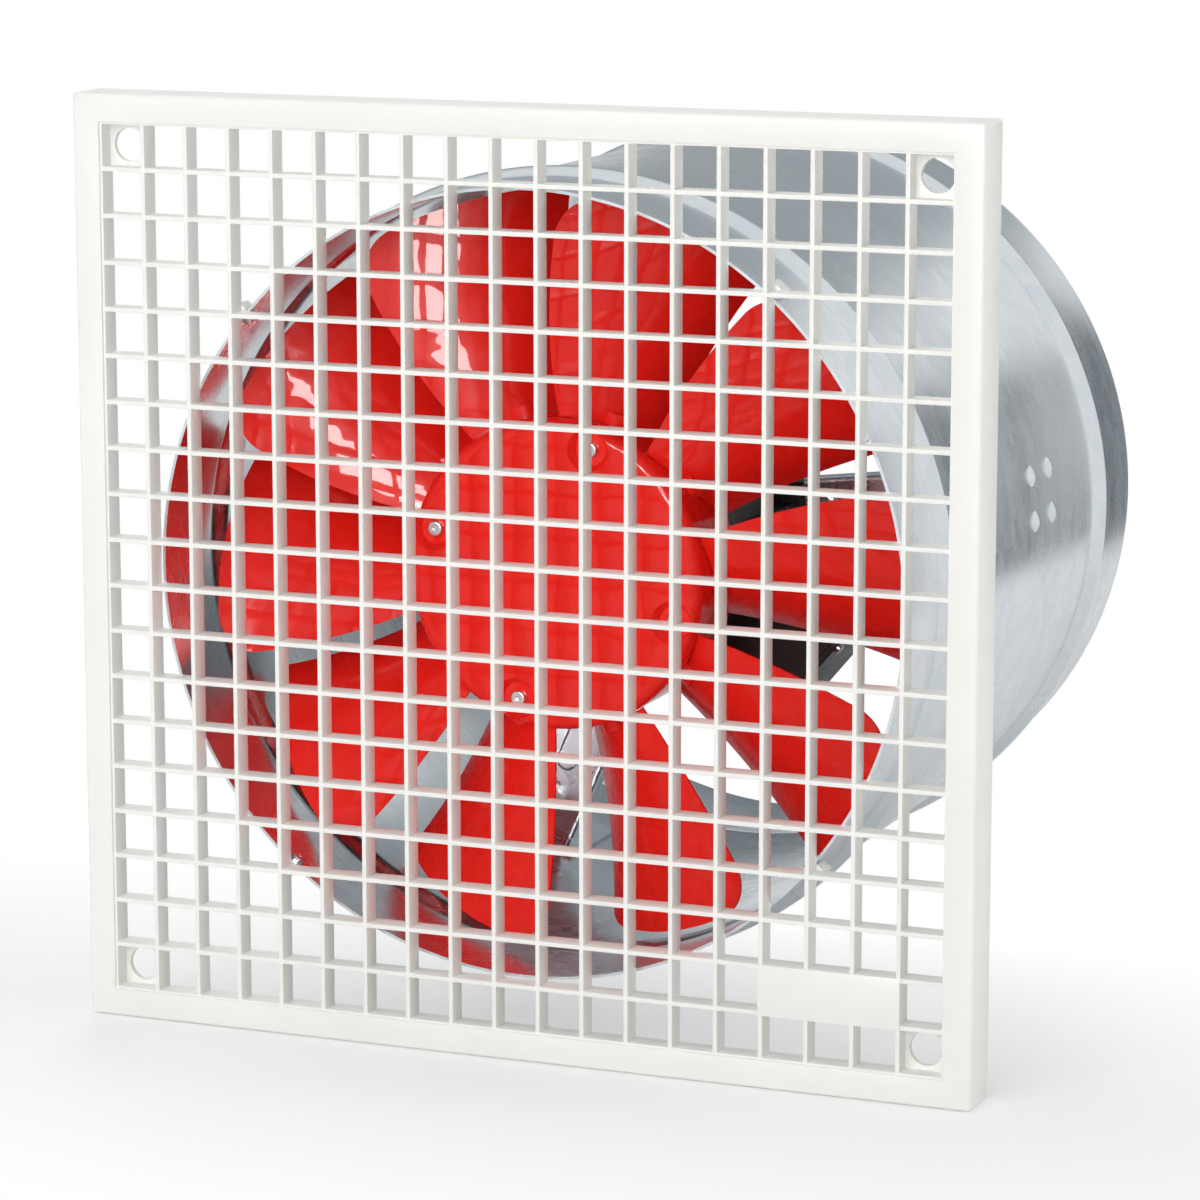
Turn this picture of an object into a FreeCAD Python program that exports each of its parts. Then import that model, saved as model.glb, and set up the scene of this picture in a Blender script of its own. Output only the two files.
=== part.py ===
import FreeCAD, Part
import math
import os

# Axial duct fan behind a square wall grille.
# Millimetres. +Y runs along the fan axis from the room into the duct, +Z is up.
# The origin is on the fan axis, in the plane of the back faces of the grille's four corner pads.

V = FreeCAD.Vector
ORIGIN = V(0, 0, 0)
AXIAL = V(0, 1, 0)
RADIAL = V(1, 0, 0)

# ---- grille ----
GRILLE_SIDE = 480.0
GRILLE_DEPTH = 28.0
BORDER_WIDTH = 14.5
BORDER_THICKNESS = 3.0
SKIRT_WALL = 2.5
EDGE_ROUNDING = 2.0
CELLS = 19
WEB_THICKNESS = 2.3
WEB_DEPTH = 11.5
WEB_RECESS = 1.5
PAD_THICKNESS = 3.0
PAD_STANDOFF = 1.0
PAD_HOLE_RADIUS = 8.5
LABEL_THICKNESS = 0.9
LABEL_CELLS = 3
LABEL_COLUMN = 15
LABEL_ROW = 17
LUGS = 4
LUG_WIDTH = 8.0
LUG_HEIGHT = 4.0
LUG_DEPTH = 11.0
LUG_END_WALL = 1.0

# ---- duct tube ----
TUBE_RADIUS = 200.0
TUBE_WALL = 1.5
TUBE_LENGTH = 400.0
BEAD_SETBACK = 62.0
BEAD_HEIGHT = 5.0
BEAD_HALF_WIDTH = 11.0
BEAD_CREST_RADIUS = 8.0

# ---- impeller ----
BLADES = 10
BLADE_PHASE = 0.2
TIP_CLEARANCE = 5.5
ROOT_CHORD = 58.0
TIP_CHORD = 127.0
ROOT_PITCH = 40.0
TIP_PITCH = 26.0
CAMBER = 0.08
MID_SWEEP = 7.0
BLADE_THICKNESS = 3.2
BLADE_EDGE = 1.4
LEADING_CORNER = 22.0
TRAILING_CORNER = 7.0
STUB_RADIUS = 8.0
STUB_COLLAR = 3.0
STUB_COLLAR_LENGTH = 5.4
HUB_RADIUS = 80.0
HUB_FRONT_GAP = 37.0
COVER_THICKNESS = 8.0
COVER_ROUNDING = 7.0
FRONT_HALF_DEPTH = 18.0
REAR_HALF_DEPTH = 26.0
HUB_RING_WALL = 26.0
HUB_WEB = 4.0
BOSS_RADIUS = 18.0
COVER_SCREWS = 4
COVER_SCREW_CIRCLE = 68.0
COVER_SCREW_PHASE = -16.8
POCKET_TOP = 11.0
POCKET_FLOOR = 8.0
POCKET_DEPTH = 4.5
COVER_SCREW_LENGTH = 12.0
COVER_THREAD = 9.0
CLAMP_INSET = 12.0
CLAMP_THREAD = 7.5
CLAMP_HEAD_RADIUS = 4.3
CLAMP_HEAD_HEIGHT = 3.2
CLAMP_SEAT = 3.4
HUB_RIB_HALF = 2.0
HUB_PLATE_FRONT = 12.0
HUB_PLATE_BACK = 6.0
END_WASHER_RADIUS = 14.0
END_WASHER_THICKNESS = 3.0
END_SCREW_HEAD = 3.4
BLADE_SECTIONS = 5

# ---- motor ----
MOTOR_GAP = 10.0
SHIELD_THICKNESS = 14.0
BARREL_LENGTH = 140.0
BARREL_RADIUS = 66.0
BARREL_WALL = 6.0
FIN_HEIGHT = 10.0
FIN_THICKNESS = 2.5
FINS = 30
SHIELD_RADIUS = 68.0
STATOR_LENGTH = 60.0
STATOR_BORE = 36.0
AIR_GAP = 0.4
SLOTS = 24
SHAFT_RADIUS = 12.0
SHAFT_END_RADIUS = 7.0
SEAT_RADIUS = 8.5
BEARING_RADIUS = 20.0
BEARING_WIDTH = 12.0
BALL_RADIUS = 3.3
BALL_PITCH = 14.25
BALLS = 8
KEY_WIDTH = 5.0
KEY_HEIGHT = 5.0
KEY_LENGTH = 22.0
KEY_FLOOR = 4.0
SHIELD_CAP = 4.0
END_TURNS = 22.0
END_TURN_ROUNDING = 5.0
SLOT_HALF_WIDTH = 1.6
SLOT_BACK_IRON = 6.0
SLOT_LINING = 0.2
CAGE_RING_LENGTH = 6.0
CAGE_RING_WALL = 10.0
SHOULDER = 0.5
SHAFT_THREAD = 20.0
SPIGOT_LENGTH = 5.0
SHIELD_ROUNDING = 3.0
SHIELD_STEP = 6.0
SHIELD_RIBS = 8
SHIELD_THREAD = 13.0
BOSS_THREAD = 16.0
FIN_SETBACK = 4.0
BOX_FLAT_HALF = 26.0
LEAD_HOLE_RADIUS = 5.0
SHIELD_SCREW_PHASE = 65.0
RACE_CLEARANCE = 2.2
CAGE_HALF_WALL = 1.4
CAGE_SETBACK = 3.0

# ---- struts between the motor and the tube ----
STRUTS = 3
STRUT_PHASE = 6.75
FOOT_WIDTH = 46.0
FOOT_LENGTH = 62.0
SHEET = 2.0
UPSTAND_HEIGHT = 46.0
ARM_WIDTH = 40.0
ARM_FLANGE = 12.0
MOTOR_BOSS_HEIGHT = 34.0
MOTOR_BOSS_WIDTH = 30.0
MOTOR_BOSS_DEPTH = 24.0
FOOT_BOLT_INSET = 31.5
RIVET_PITCH_AXIAL = 31.0
RIVET_PITCH_AROUND = 24.0
RIVET_HEAD_RADIUS = 5.8
RIVET_HEAD_HEIGHT = 2.4
RIVET_RADIUS = 3.2
RIVET_TAIL = 3.0
UPSTAND_CORNER = 7.0
RIB_HALF_WIDTH = 6.0
RIB_HEIGHT = 2.5
RIB_ROUNDING = 1.6
RIB_START_GAP = 14.0
RIB_END_GAP = 15.0
ARM_BOLT_SPACING = 16.0
ARM_BOLT_LENGTH = 16.0

# ---- terminal box on the motor ----
BOX_ANGLE = -40.0
BOX_WIDTH = 60.0
BOX_LENGTH = 78.0
BOX_HEIGHT = 32.0
BOX_WALL = 2.5
GASKET = 1.0
LID_THICKNESS = 3.0
CAPACITOR_RADIUS = 13.0
CAPACITOR_LENGTH = 50.0
GLAND_THREAD_RADIUS = 8.0
GLAND_ACROSS = 20.0
CABLE_RADIUS = 4.0
BOX_CORNER = 4.0
BOX_POST_RADIUS = 4.2
BOX_POST_INSET = 5.0
BOX_SCREW_INSET = 13.0
BOX_SCREW_HALF_SPACING = 18.0
GASKET_LAND = 9.5
LID_ROUNDING = 1.2
LID_SCREW_RADIUS = 1.5
LID_SCREW_LENGTH = 14.0
BOX_SCREW_LENGTH = 10.0
TERMINAL_WAYS = 3
TERMINAL_PITCH = 11.0
TERMINAL_HEIGHT = 14.0
GLAND_HEX_LENGTH = 5.0
GLAND_NECK_LENGTH = 15.0
GLAND_NUT_ACROSS = 19.0
GLAND_NUT_LENGTH = 8.0
GLAND_DOME_LENGTH = 5.0
GLAND_DOME_RADIUS = 7.0

# ---- fits and fasteners ----
SLIP = 0.03
HOLE_CLEARANCE = 0.25
THREAD_CLEARANCE = 0.02
SEAT_GAP = 0.1
BODY_GAP = 0.3
M4 = 2.0
M5 = 2.5
M6 = 3.0
PAN_HEAD_HEIGHT = 2.6
PAN_HEAD_ROUNDING = 1.2
PAN_DRIVE_ACROSS = 2.4
PAN_DRIVE_DEPTH = 1.5
HEX_ACROSS = 10.0
HEX_HEAD_HEIGHT = 4.0
HEX_NUT_HEIGHT = 5.0
WASHER_RADIUS = 6.2
WASHER_THICKNESS = 1.6
WASHER_SLACK = 0.2

# ---- places along the axis ----
front_y = -(GRILLE_DEPTH / 2.0)
back_y = front_y + GRILLE_DEPTH
web_front = front_y + WEB_RECESS
web_back = web_front + WEB_DEPTH
pad_back = web_back + PAD_STANDOFF
tube_front = web_back
tube_back = tube_front + TUBE_LENGTH
tube_bore = TUBE_RADIUS - TUBE_WALL
cover_front = tube_front + HUB_FRONT_GAP
cover_back = cover_front + COVER_THICKNESS
split_y = cover_back + FRONT_HALF_DEPTH
hub_back = split_y + REAR_HALF_DEPTH
tip_radius = tube_bore - TIP_CLEARANCE
shield_front = hub_back + MOTOR_GAP
barrel_front = shield_front + SHIELD_THICKNESS
barrel_back = barrel_front + BARREL_LENGTH
shield_back = barrel_back + SHIELD_THICKNESS + SHIELD_CAP
barrel_bore = BARREL_RADIUS - BARREL_WALL
front_bearing = barrel_front - BEARING_WIDTH
rear_bearing = barrel_back
stator_front = (barrel_front + barrel_back - STATOR_LENGTH) / 2.0
stator_back = stator_front + STATOR_LENGTH
opening_half = GRILLE_SIDE / 2.0 - BORDER_WIDTH
cell_pitch = 2.0 * opening_half / CELLS
pad_centre = opening_half - cell_pitch / 2.0
boss_front = barrel_front + 0.64 * BARREL_LENGTH
arm_front = boss_front - SHEET
foot_front = boss_front
foot_middle = foot_front + FOOT_LENGTH / 2.0
arm_inner = BARREL_RADIUS + FIN_HEIGHT + 4.0
arm_outer = tube_bore - 12.5
motor_bolt_radius = BARREL_RADIUS + 24.0
foot_bolt_radius = tube_bore - FOOT_BOLT_INSET
boss_end = BARREL_RADIUS + MOTOR_BOSS_HEIGHT
lug_screw_y = web_back + LUG_DEPTH / 2.0
boss_tip = cover_back + 10.0
shaft_tip = boss_tip + 2.0
key_front = shaft_tip + 8.0
key_back = key_front + KEY_LENGTH
ring_inner = HUB_RADIUS - HUB_RING_WALL
stub_start = ring_inner + 3.0
collar_start = ring_inner + 6.0
clamp_circle = HUB_RADIUS - CLAMP_INSET

# ---- places in the terminal box, with the box at three o'clock ----
box_floor = BARREL_RADIUS + FIN_HEIGHT + 4.0
box_top = box_floor + BOX_HEIGHT
box_front = barrel_back - BOX_LENGTH - 2.0
box_back = box_front + BOX_LENGTH
lead_hole_y = box_front + 26.0
gland_x = box_floor + BOX_HEIGHT / 2.0 + 1.0
gland_z = 6.0
capacitor_front = box_front + 8.0
capacitor_x = box_floor + BOX_WALL + 2.4 + CAPACITOR_RADIUS
capacitor_z = -13.5


def rod(radius, y0, y1):
    """A cylinder on the fan axis."""
    return Part.makeCylinder(radius, y1 - y0, V(0, y0, 0), AXIAL)


def ring(outer, inner, y0, y1):
    """A plain ring on the fan axis."""
    return rod(outer, y0, y1).cut(rod(inner, y0 - 1, y1 + 1))


def rod_at(radius, x, z, y0, y1):
    """A cylinder parallel to the fan axis."""
    return Part.makeCylinder(radius, y1 - y0, V(x, y0, z), AXIAL)


def spoke(radius, x0, x1, y, z=0.0):
    """A cylinder that runs outwards along +X."""
    return Part.makeCylinder(radius, x1 - x0, V(x0, y, z), RADIAL)


def block(x0, x1, y0, y1, z0, z1):
    """A box between two corners."""
    return Part.makeBox(x1 - x0, y1 - y0, z1 - z0, V(x0, y0, z0))


def spin(shape, degrees):
    """A copy turned about the fan axis, anticlockwise as seen from the room."""
    turned = shape.copy()
    turned.rotate(ORIGIN, AXIAL, -degrees)
    return turned


def around(shape, count, phase=0.0):
    """Copies spread evenly round the fan axis."""
    return [spin(shape, phase + 360.0 * i / count) for i in range(count)]


def join(shapes):
    """One solid from several that meet."""
    return shapes[0].multiFuse(shapes[1:]).removeSplitter()


def prism(points, y0, y1):
    """A closed outline in the XZ plane, carried from y0 to y1."""
    wire = Part.makePolygon([V(x, y0, z) for x, z in points + points[:1]])
    return Part.Face(wire).extrude(V(0, y1 - y0, 0))


def hexagon(x, z, across, y0, y1):
    """A hexagonal prism parallel to the fan axis."""
    corner = across / math.sqrt(3.0)
    corners = []
    for i in range(6):
        angle = math.radians(60.0 * i)
        corners.append((x + corner * math.cos(angle), z + corner * math.sin(angle)))
    return prism(corners, y0, y1)


def revolve(edges):
    """A ring from a closed half section in the XY plane."""
    return Part.Face(Part.Wire(edges)).revolve(ORIGIN, AXIAL, 360)


def flat_edges(shape, y):
    """The edges that lie in the plane at y."""
    return [e for e in shape.Edges if abs(e.BoundBox.Center.y - y) < SLIP and e.BoundBox.YLength < SLIP]


def save(name, shape):
    """Write one sub-part."""
    shape.exportStep("parts/" + name + ".step")


def save_group(name, shapes):
    """Write separate solids that share one node."""
    save(name, Part.makeCompound(shapes))


# ---------------------------------------------------------------- grille

def square(half, y):
    """A square wire about the fan axis."""
    corners = [(-half, -half), (half, -half), (half, half), (-half, half), (-half, -half)]
    return Part.makePolygon([V(x, y, z) for x, z in corners])


def cell_centre(index):
    """The middle of a row or column of cells."""
    return -opening_half + (index + 0.5) * cell_pitch


def lattice():
    """The square webs, drawn as one plate with a hole for each cell."""
    rim = opening_half + WEB_THICKNESS
    plate = Part.Face(square(rim, web_front))
    half = (cell_pitch - WEB_THICKNESS) / 2.0
    holes = []
    for column in range(CELLS):
        for row in range(CELLS):
            x = cell_centre(column)
            z = cell_centre(row)
            corners = [(x - half, z - half), (x - half, z + half), (x + half, z + half), (x + half, z - half)]
            holes.append(Part.makePolygon([V(a, web_front, b) for a, b in corners + corners[:1]]))
    face = Part.Face([plate.OuterWire] + holes)
    face.validate()
    return face.extrude(V(0, WEB_DEPTH, 0))


def border():
    """The flat front border with its skirt, rounded along the front and the corners."""
    half = GRILLE_SIDE / 2.0
    shell = block(-half, half, front_y, back_y, -half, half)
    rounded = []
    for edge in shell.Edges:
        middle = edge.BoundBox.Center
        on_front = abs(middle.y - front_y) < SLIP
        on_corner = abs(abs(middle.x) - half) < SLIP and abs(abs(middle.z) - half) < SLIP
        if on_front or on_corner:
            rounded.append(edge)
    shell = shell.makeFillet(EDGE_ROUNDING, rounded)
    inner = half - SKIRT_WALL
    rim = opening_half + WEB_THICKNESS
    behind = front_y + BORDER_THICKNESS
    hollow = block(-inner, inner, behind, back_y + 1, -inner, inner)
    opening = block(-opening_half, opening_half, front_y - 1, back_y, -opening_half, opening_half)
    seat = block(-rim, rim, web_front, behind + 1, -rim, rim)
    return shell.cut(hollow).cut(opening).cut(seat)


def corner_pad(x, z):
    """A closed corner cell with a round fixing hole."""
    half = (cell_pitch + WEB_THICKNESS) / 2.0
    plate = block(x - half, x + half, pad_back - PAD_THICKNESS, pad_back, z - half, z + half)
    return plate.cut(rod_at(PAD_HOLE_RADIUS, x, z, front_y, back_y))


def lug_crossing():
    """The web crossing just outside the tube, as its distance from the axis and its angle."""
    webs = [(i + 0.5) * cell_pitch for i in range(CELLS // 2)]
    outside = []
    for x in webs:
        for z in webs:
            away = math.hypot(x, z)
            if x < z and away > TUBE_RADIUS + WEB_THICKNESS / 2.0:
                outside.append((away, math.degrees(math.atan2(z, x))))
    return min(outside)


def grille_lug():
    """A post behind a crossing of the webs, outside the tube, that takes one radial screw."""
    start = TUBE_RADIUS + BODY_GAP
    end = lug_crossing()[0] + LUG_HEIGHT
    lug = block(start, end, web_back - 1, web_back + LUG_DEPTH, -LUG_WIDTH / 2, LUG_WIDTH / 2)
    return lug.cut(spoke(M4 + THREAD_CLEARANCE, start - 1, end - LUG_END_WALL, lug_screw_y))


def front_grille():
    """Border, webs, corner pads and screw lugs in one moulding."""
    corners = [(sx * pad_centre, sz * pad_centre) for sx in (-1, 1) for sz in (-1, 1)]
    pads = [corner_pad(x, z) for x, z in corners]
    lugs = around(grille_lug(), LUGS, lug_crossing()[1])
    return border().multiFuse([lattice()] + pads + lugs)


def label_plate():
    """A blank plate on the front of the webs."""
    x = cell_centre(LABEL_COLUMN) + cell_pitch * (LABEL_CELLS - 1) / 2.0
    z = -cell_centre(LABEL_ROW)
    wide = (LABEL_CELLS * cell_pitch + WEB_THICKNESS) / 2.0
    tall = (cell_pitch + WEB_THICKNESS) / 2.0
    return block(x - wide, x + wide, web_front - LABEL_THICKNESS, web_front, z - tall, z + tall)


def grille_screw():
    """A pan-head screw from inside the tube into a lug."""
    head = spoke(2 * M4, tube_bore - SEAT_GAP - PAN_HEAD_HEIGHT, tube_bore - SEAT_GAP, lug_screw_y)
    tip = lug_crossing()[0] + LUG_HEIGHT - 2 * LUG_END_WALL
    shank = spoke(M4, tube_bore - SEAT_GAP - 1, tip, lug_screw_y)
    recess = spoke(M4 * 0.6, tube_bore - SEAT_GAP - 3, tube_bore - SEAT_GAP - 1.4, lug_screw_y)
    return head.fuse(shank).cut(recess).removeSplitter()


# ---------------------------------------------------------------- duct tube

def bead_edges(y, radius, foot, forward):
    """Three tangent arcs of one bead, from its foot at y - half width or back again."""
    turn = 2.0 * math.atan2(BEAD_HEIGHT, BEAD_HALF_WIDTH)
    top = radius + BEAD_HEIGHT
    sides = (-1, 1) if forward else (1, -1)
    edges = []
    for step, side in enumerate(sides):
        centre = V(radius + foot, y + side * BEAD_HALF_WIDTH, 0)
        start = V(radius, y + side * BEAD_HALF_WIDTH, 0)
        middle = centre + V(-foot * math.cos(turn / 2), -side * foot * math.sin(turn / 2), 0)
        meet = centre + V(-foot * math.cos(turn), -side * foot * math.sin(turn), 0)
        ends = (start, middle, meet) if step == 0 else (meet, middle, start)
        edges.append(Part.Arc(*ends).toShape())
        if step == 0:
            across = V(meet.x, 2 * y - meet.y, 0)
            edges.append(Part.Arc(meet, V(top, y, 0), across).toShape())
    return edges


def duct_tube():
    """A rolled tube with two stiffening beads and its fixing holes."""
    reach = (BEAD_HALF_WIDTH ** 2 + BEAD_HEIGHT ** 2) / (2.0 * BEAD_HEIGHT)
    foot = reach - BEAD_CREST_RADIUS
    beads = [tube_front + BEAD_SETBACK, tube_back - BEAD_SETBACK]
    edges = []
    at = V(TUBE_RADIUS, tube_front, 0)
    for y in beads:
        start = V(TUBE_RADIUS, y - BEAD_HALF_WIDTH, 0)
        edges.append(Part.makeLine(at, start))
        edges.extend(bead_edges(y, TUBE_RADIUS, foot, True))
        at = V(TUBE_RADIUS, y + BEAD_HALF_WIDTH, 0)
    corner = V(TUBE_RADIUS, tube_back, 0)
    inner_corner = V(tube_bore, tube_back, 0)
    edges.append(Part.makeLine(at, corner))
    edges.append(Part.makeLine(corner, inner_corner))
    at = inner_corner
    for y in reversed(beads):
        start = V(tube_bore, y + BEAD_HALF_WIDTH, 0)
        edges.append(Part.makeLine(at, start))
        edges.extend(bead_edges(y, tube_bore, foot + TUBE_WALL, False))
        at = V(tube_bore, y - BEAD_HALF_WIDTH, 0)
    last = V(tube_bore, tube_front, 0)
    edges.append(Part.makeLine(at, last))
    edges.append(Part.makeLine(last, V(TUBE_RADIUS, tube_front, 0)))
    tube = revolve(edges)
    screw_hole = spoke(M4 + HOLE_CLEARANCE, tube_bore - 5, TUBE_RADIUS + 5, lug_screw_y)
    holes = around(screw_hole, LUGS, lug_crossing()[1])
    for hole in rivet_spokes(RIVET_RADIUS + SEAT_GAP, tube_bore - 5, TUBE_RADIUS + 5):
        holes.extend(around(hole, STRUTS, STRUT_PHASE))
    return tube.cut(holes)


# ---------------------------------------------------------------- struts

def rivet_spokes(radius, x0, x1):
    """The four rivet cylinders of one strut foot."""
    half_turn = math.degrees(RIVET_PITCH_AROUND / 2.0 / TUBE_RADIUS)
    found = []
    for dy in (-RIVET_PITCH_AXIAL / 2.0, RIVET_PITCH_AXIAL / 2.0):
        for turn in (-half_turn, half_turn):
            found.append(spin(spoke(radius, x0, x1, foot_middle + dy), turn))
    return found


def strut_foot():
    """A plate that follows the tube wall, with an upstand that faces the room."""
    outer = tube_bore - SEAT_GAP
    half = FOOT_WIDTH / 2.0
    plate = ring(outer, outer - SHEET, foot_front, foot_front + FOOT_LENGTH)
    plate = plate.common(block(outer - 20, outer + 1, foot_front, foot_front + FOOT_LENGTH, -half, half))
    wide = ARM_WIDTH / 2.0 - SHEET - 1.0
    top = outer - UPSTAND_HEIGHT
    upstand = block(top, outer - SHEET / 2.0, foot_front, foot_front + SHEET, -wide, wide)
    corners = [e for e in upstand.Edges
               if abs(e.BoundBox.Center.x - top) < SLIP and e.BoundBox.YLength > SHEET / 2]
    upstand = upstand.makeFillet(UPSTAND_CORNER, corners)
    upstand = upstand.common(rod(outer - SLIP, foot_front - 1, foot_front + SHEET + 1))
    foot = plate.fuse(upstand).removeSplitter()
    hole = rod_at(M6 + HOLE_CLEARANCE, foot_bolt_radius, 0, foot_front - 1, foot_front + SHEET + 1)
    return foot.cut([hole] + rivet_spokes(RIVET_RADIUS + SEAT_GAP, outer - 8, outer + 2))


def obround(x0, x1, half, y0, y1):
    """A round-ended bar that lies along +X."""
    ends = [rod_at(half, x0 + half, 0, y0, y1), rod_at(half, x1 - half, 0, y0, y1)]
    return join([block(x0 + half, x1 - half, y0, y1, -half, half)] + ends)


def strut_arm():
    """A pressed channel with a raised rib, from the motor boss to the foot."""
    half = ARM_WIDTH / 2.0
    arm = block(arm_inner, arm_outer, arm_front, arm_front + ARM_FLANGE, -half, half)
    bends = [e for e in arm.Edges if e.BoundBox.XLength > 10 and abs(e.BoundBox.Center.y - arm_front) < SLIP]
    arm = arm.makeFillet(SHEET * 1.5, bends)
    trough = block(arm_inner - 1, arm_outer + 1, arm_front + SHEET, arm_front + ARM_FLANGE + 1,
                   -half + SHEET, half - SHEET)
    arm = arm.cut(trough)
    rib_start = motor_bolt_radius + RIB_START_GAP
    rib_end = foot_bolt_radius - RIB_END_GAP
    rib_top = arm_front - RIB_HEIGHT
    rib = obround(rib_start, rib_end, RIB_HALF_WIDTH, rib_top, arm_front + SHEET)
    crest = flat_edges(rib, rib_top)
    rib = rib.makeFillet(RIB_ROUNDING, crest)
    dent = obround(rib_start + SHEET, rib_end - SHEET, RIB_HALF_WIDTH - SHEET, rib_top + SHEET,
                   arm_front + SHEET + 1)
    arm = arm.fuse(rib).cut(dent)
    holes = [rod_at(M6 + HOLE_CLEARANCE, x, z, arm_front - 1, arm_front + SHEET + 1)
             for x, z in arm_bolt_places()]
    return arm.cut(holes)


def arm_bolt_places():
    """Two bolts at the motor end of an arm and one at its foot."""
    half = ARM_BOLT_SPACING / 2.0
    return [(motor_bolt_radius, -half), (motor_bolt_radius, half), (foot_bolt_radius, 0.0)]


def hex_bolt(x, z, length):
    """A bolt whose head faces the room, with its washer in front of the arm."""
    seat = arm_front - WASHER_THICKNESS
    face = seat - HEX_HEAD_HEIGHT
    head = hexagon(x, z, HEX_ACROSS, face, seat)
    flat = HEX_ACROSS / 2.0 - SEAT_GAP
    base = V(x, face - SEAT_GAP / 2.0, z)
    chamfer = Part.makeCone(flat, flat + HEX_HEAD_HEIGHT + SEAT_GAP, HEX_HEAD_HEIGHT + SEAT_GAP, base, AXIAL)
    head = head.common(chamfer)
    return head.fuse(rod_at(M6, x, z, seat - 0.5, seat + length)).removeSplitter()


def washer(x, z, y):
    """A plain washer that starts at y."""
    disc = rod_at(WASHER_RADIUS, x, z, y, y + WASHER_THICKNESS)
    return disc.cut(rod_at(M6 + WASHER_SLACK, x, z, y - 1, y + WASHER_THICKNESS + 1))


def rivet():
    """A round-headed rivet along +X."""
    sphere = (RIVET_HEAD_RADIUS ** 2 + RIVET_HEAD_HEIGHT ** 2) / (2.0 * RIVET_HEAD_HEIGHT)
    dome = Part.makeSphere(sphere, V(TUBE_RADIUS + RIVET_HEAD_HEIGHT - sphere, 0, 0))
    head = dome.common(spoke(RIVET_HEAD_RADIUS, TUBE_RADIUS, TUBE_RADIUS + 10, 0))
    tail_top = tube_bore - SEAT_GAP - SHEET - SEAT_GAP
    tail = spoke(RIVET_RADIUS + 1.0, tail_top - RIVET_TAIL, tail_top, 0)
    shank = spoke(RIVET_RADIUS, tail_top - 1.0, TUBE_RADIUS + 0.5, 0)
    return join([head, shank, tail])


def all_rivets():
    """Four rivets for each strut."""
    half_turn = math.degrees(RIVET_PITCH_AROUND / 2.0 / TUBE_RADIUS)
    found = []
    for dy in (-RIVET_PITCH_AXIAL / 2.0, RIVET_PITCH_AXIAL / 2.0):
        for turn in (-half_turn, half_turn):
            one = rivet()
            one.translate(V(0, foot_middle + dy, 0))
            found.extend(around(one, STRUTS, STRUT_PHASE + turn))
    return found


def save_struts():
    """Feet, arms and what holds them."""
    for i, (foot, arm) in enumerate(zip(around(strut_foot(), STRUTS, STRUT_PHASE),
                                        around(strut_arm(), STRUTS, STRUT_PHASE)), 1):
        save("strut_foot_%d" % i, foot)
        save("strut_arm_%d" % i, arm)
    save_group("strut_rivets", all_rivets())
    bolts = []
    washers = []
    for x, z in arm_bolt_places():
        bolts.extend(around(hex_bolt(x, z, ARM_BOLT_LENGTH), STRUTS, STRUT_PHASE))
        washers.extend(around(washer(x, z, arm_front - WASHER_THICKNESS), STRUTS, STRUT_PHASE))
    nut_seat = foot_front + SHEET
    nut_end = nut_seat + HEX_NUT_HEIGHT
    nut = hexagon(foot_bolt_radius, 0, HEX_ACROSS, nut_seat, nut_end)
    nut = nut.cut(rod_at(M6 + THREAD_CLEARANCE, foot_bolt_radius, 0, nut_seat - 1, nut_end + 1))
    save_group("arm_bolts", bolts)
    save_group("arm_washers", washers)
    save_group("foot_nuts", around(nut, STRUTS, STRUT_PHASE))


# ---------------------------------------------------------------- motor

def shield_screw_places():
    """Four screws in the barrel's wall."""
    radius = BARREL_RADIUS - BARREL_WALL / 2.0
    angles = [math.radians(SHIELD_SCREW_PHASE + 90.0 * i) for i in range(4)]
    return [(radius * math.cos(a), radius * math.sin(a)) for a in angles]


def motor_housing():
    """A cast barrel with cooling fins, strut bosses and a flat for the terminal box."""
    barrel = rod(BARREL_RADIUS, barrel_front, barrel_back)
    half = FIN_THICKNESS / 2.0
    fin = block(BARREL_RADIUS - 2, BARREL_RADIUS + FIN_HEIGHT, barrel_front + FIN_SETBACK,
                barrel_back - FIN_SETBACK, -half, half)
    solids = [barrel]
    box_reach = math.degrees(math.asin((BOX_WIDTH / 2.0 + 4.0) / (BARREL_RADIUS + FIN_HEIGHT)))
    for i in range(FINS):
        angle = 360.0 * i / FINS
        from_box = abs((angle - BOX_ANGLE + 180.0) % 360.0 - 180.0)
        if from_box > box_reach:
            solids.append(spin(fin, angle))
    boss = block(barrel_bore + 1, boss_end, boss_front, boss_front + MOTOR_BOSS_DEPTH,
                 -MOTOR_BOSS_WIDTH / 2.0, MOTOR_BOSS_WIDTH / 2.0)
    solids.extend(around(boss, STRUTS, STRUT_PHASE))
    flat = block(barrel_bore / 2.0, box_floor, box_front + 4, box_back - 4, -BOX_FLAT_HALF, BOX_FLAT_HALF)
    solids.append(spin(flat, BOX_ANGLE))
    body = solids[0].multiFuse(solids[1:])
    cuts = [rod(barrel_bore, barrel_front - 1, barrel_back + 1)]
    for x, z in shield_screw_places():
        cuts.append(rod_at(M4 + THREAD_CLEARANCE, x, z, barrel_front - 1, barrel_front + SHIELD_THREAD))
        cuts.append(rod_at(M4 + THREAD_CLEARANCE, x, z, barrel_back - SHIELD_THREAD, barrel_back + 1))
    for x, z in arm_bolt_places()[:2]:
        hole = rod_at(M6 + THREAD_CLEARANCE, x, z, boss_front - 1, boss_front + BOSS_THREAD)
        cuts.extend(around(hole, STRUTS, STRUT_PHASE))
    for y, z in box_screw_places():
        cuts.append(spin(spoke(M4 + THREAD_CLEARANCE, box_floor - 10, box_floor + 1, y, z), BOX_ANGLE))
    cuts.append(spin(spoke(LEAD_HOLE_RADIUS, barrel_bore - 5, box_floor + 1, lead_hole_y), BOX_ANGLE))
    return body.cut(cuts)


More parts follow.
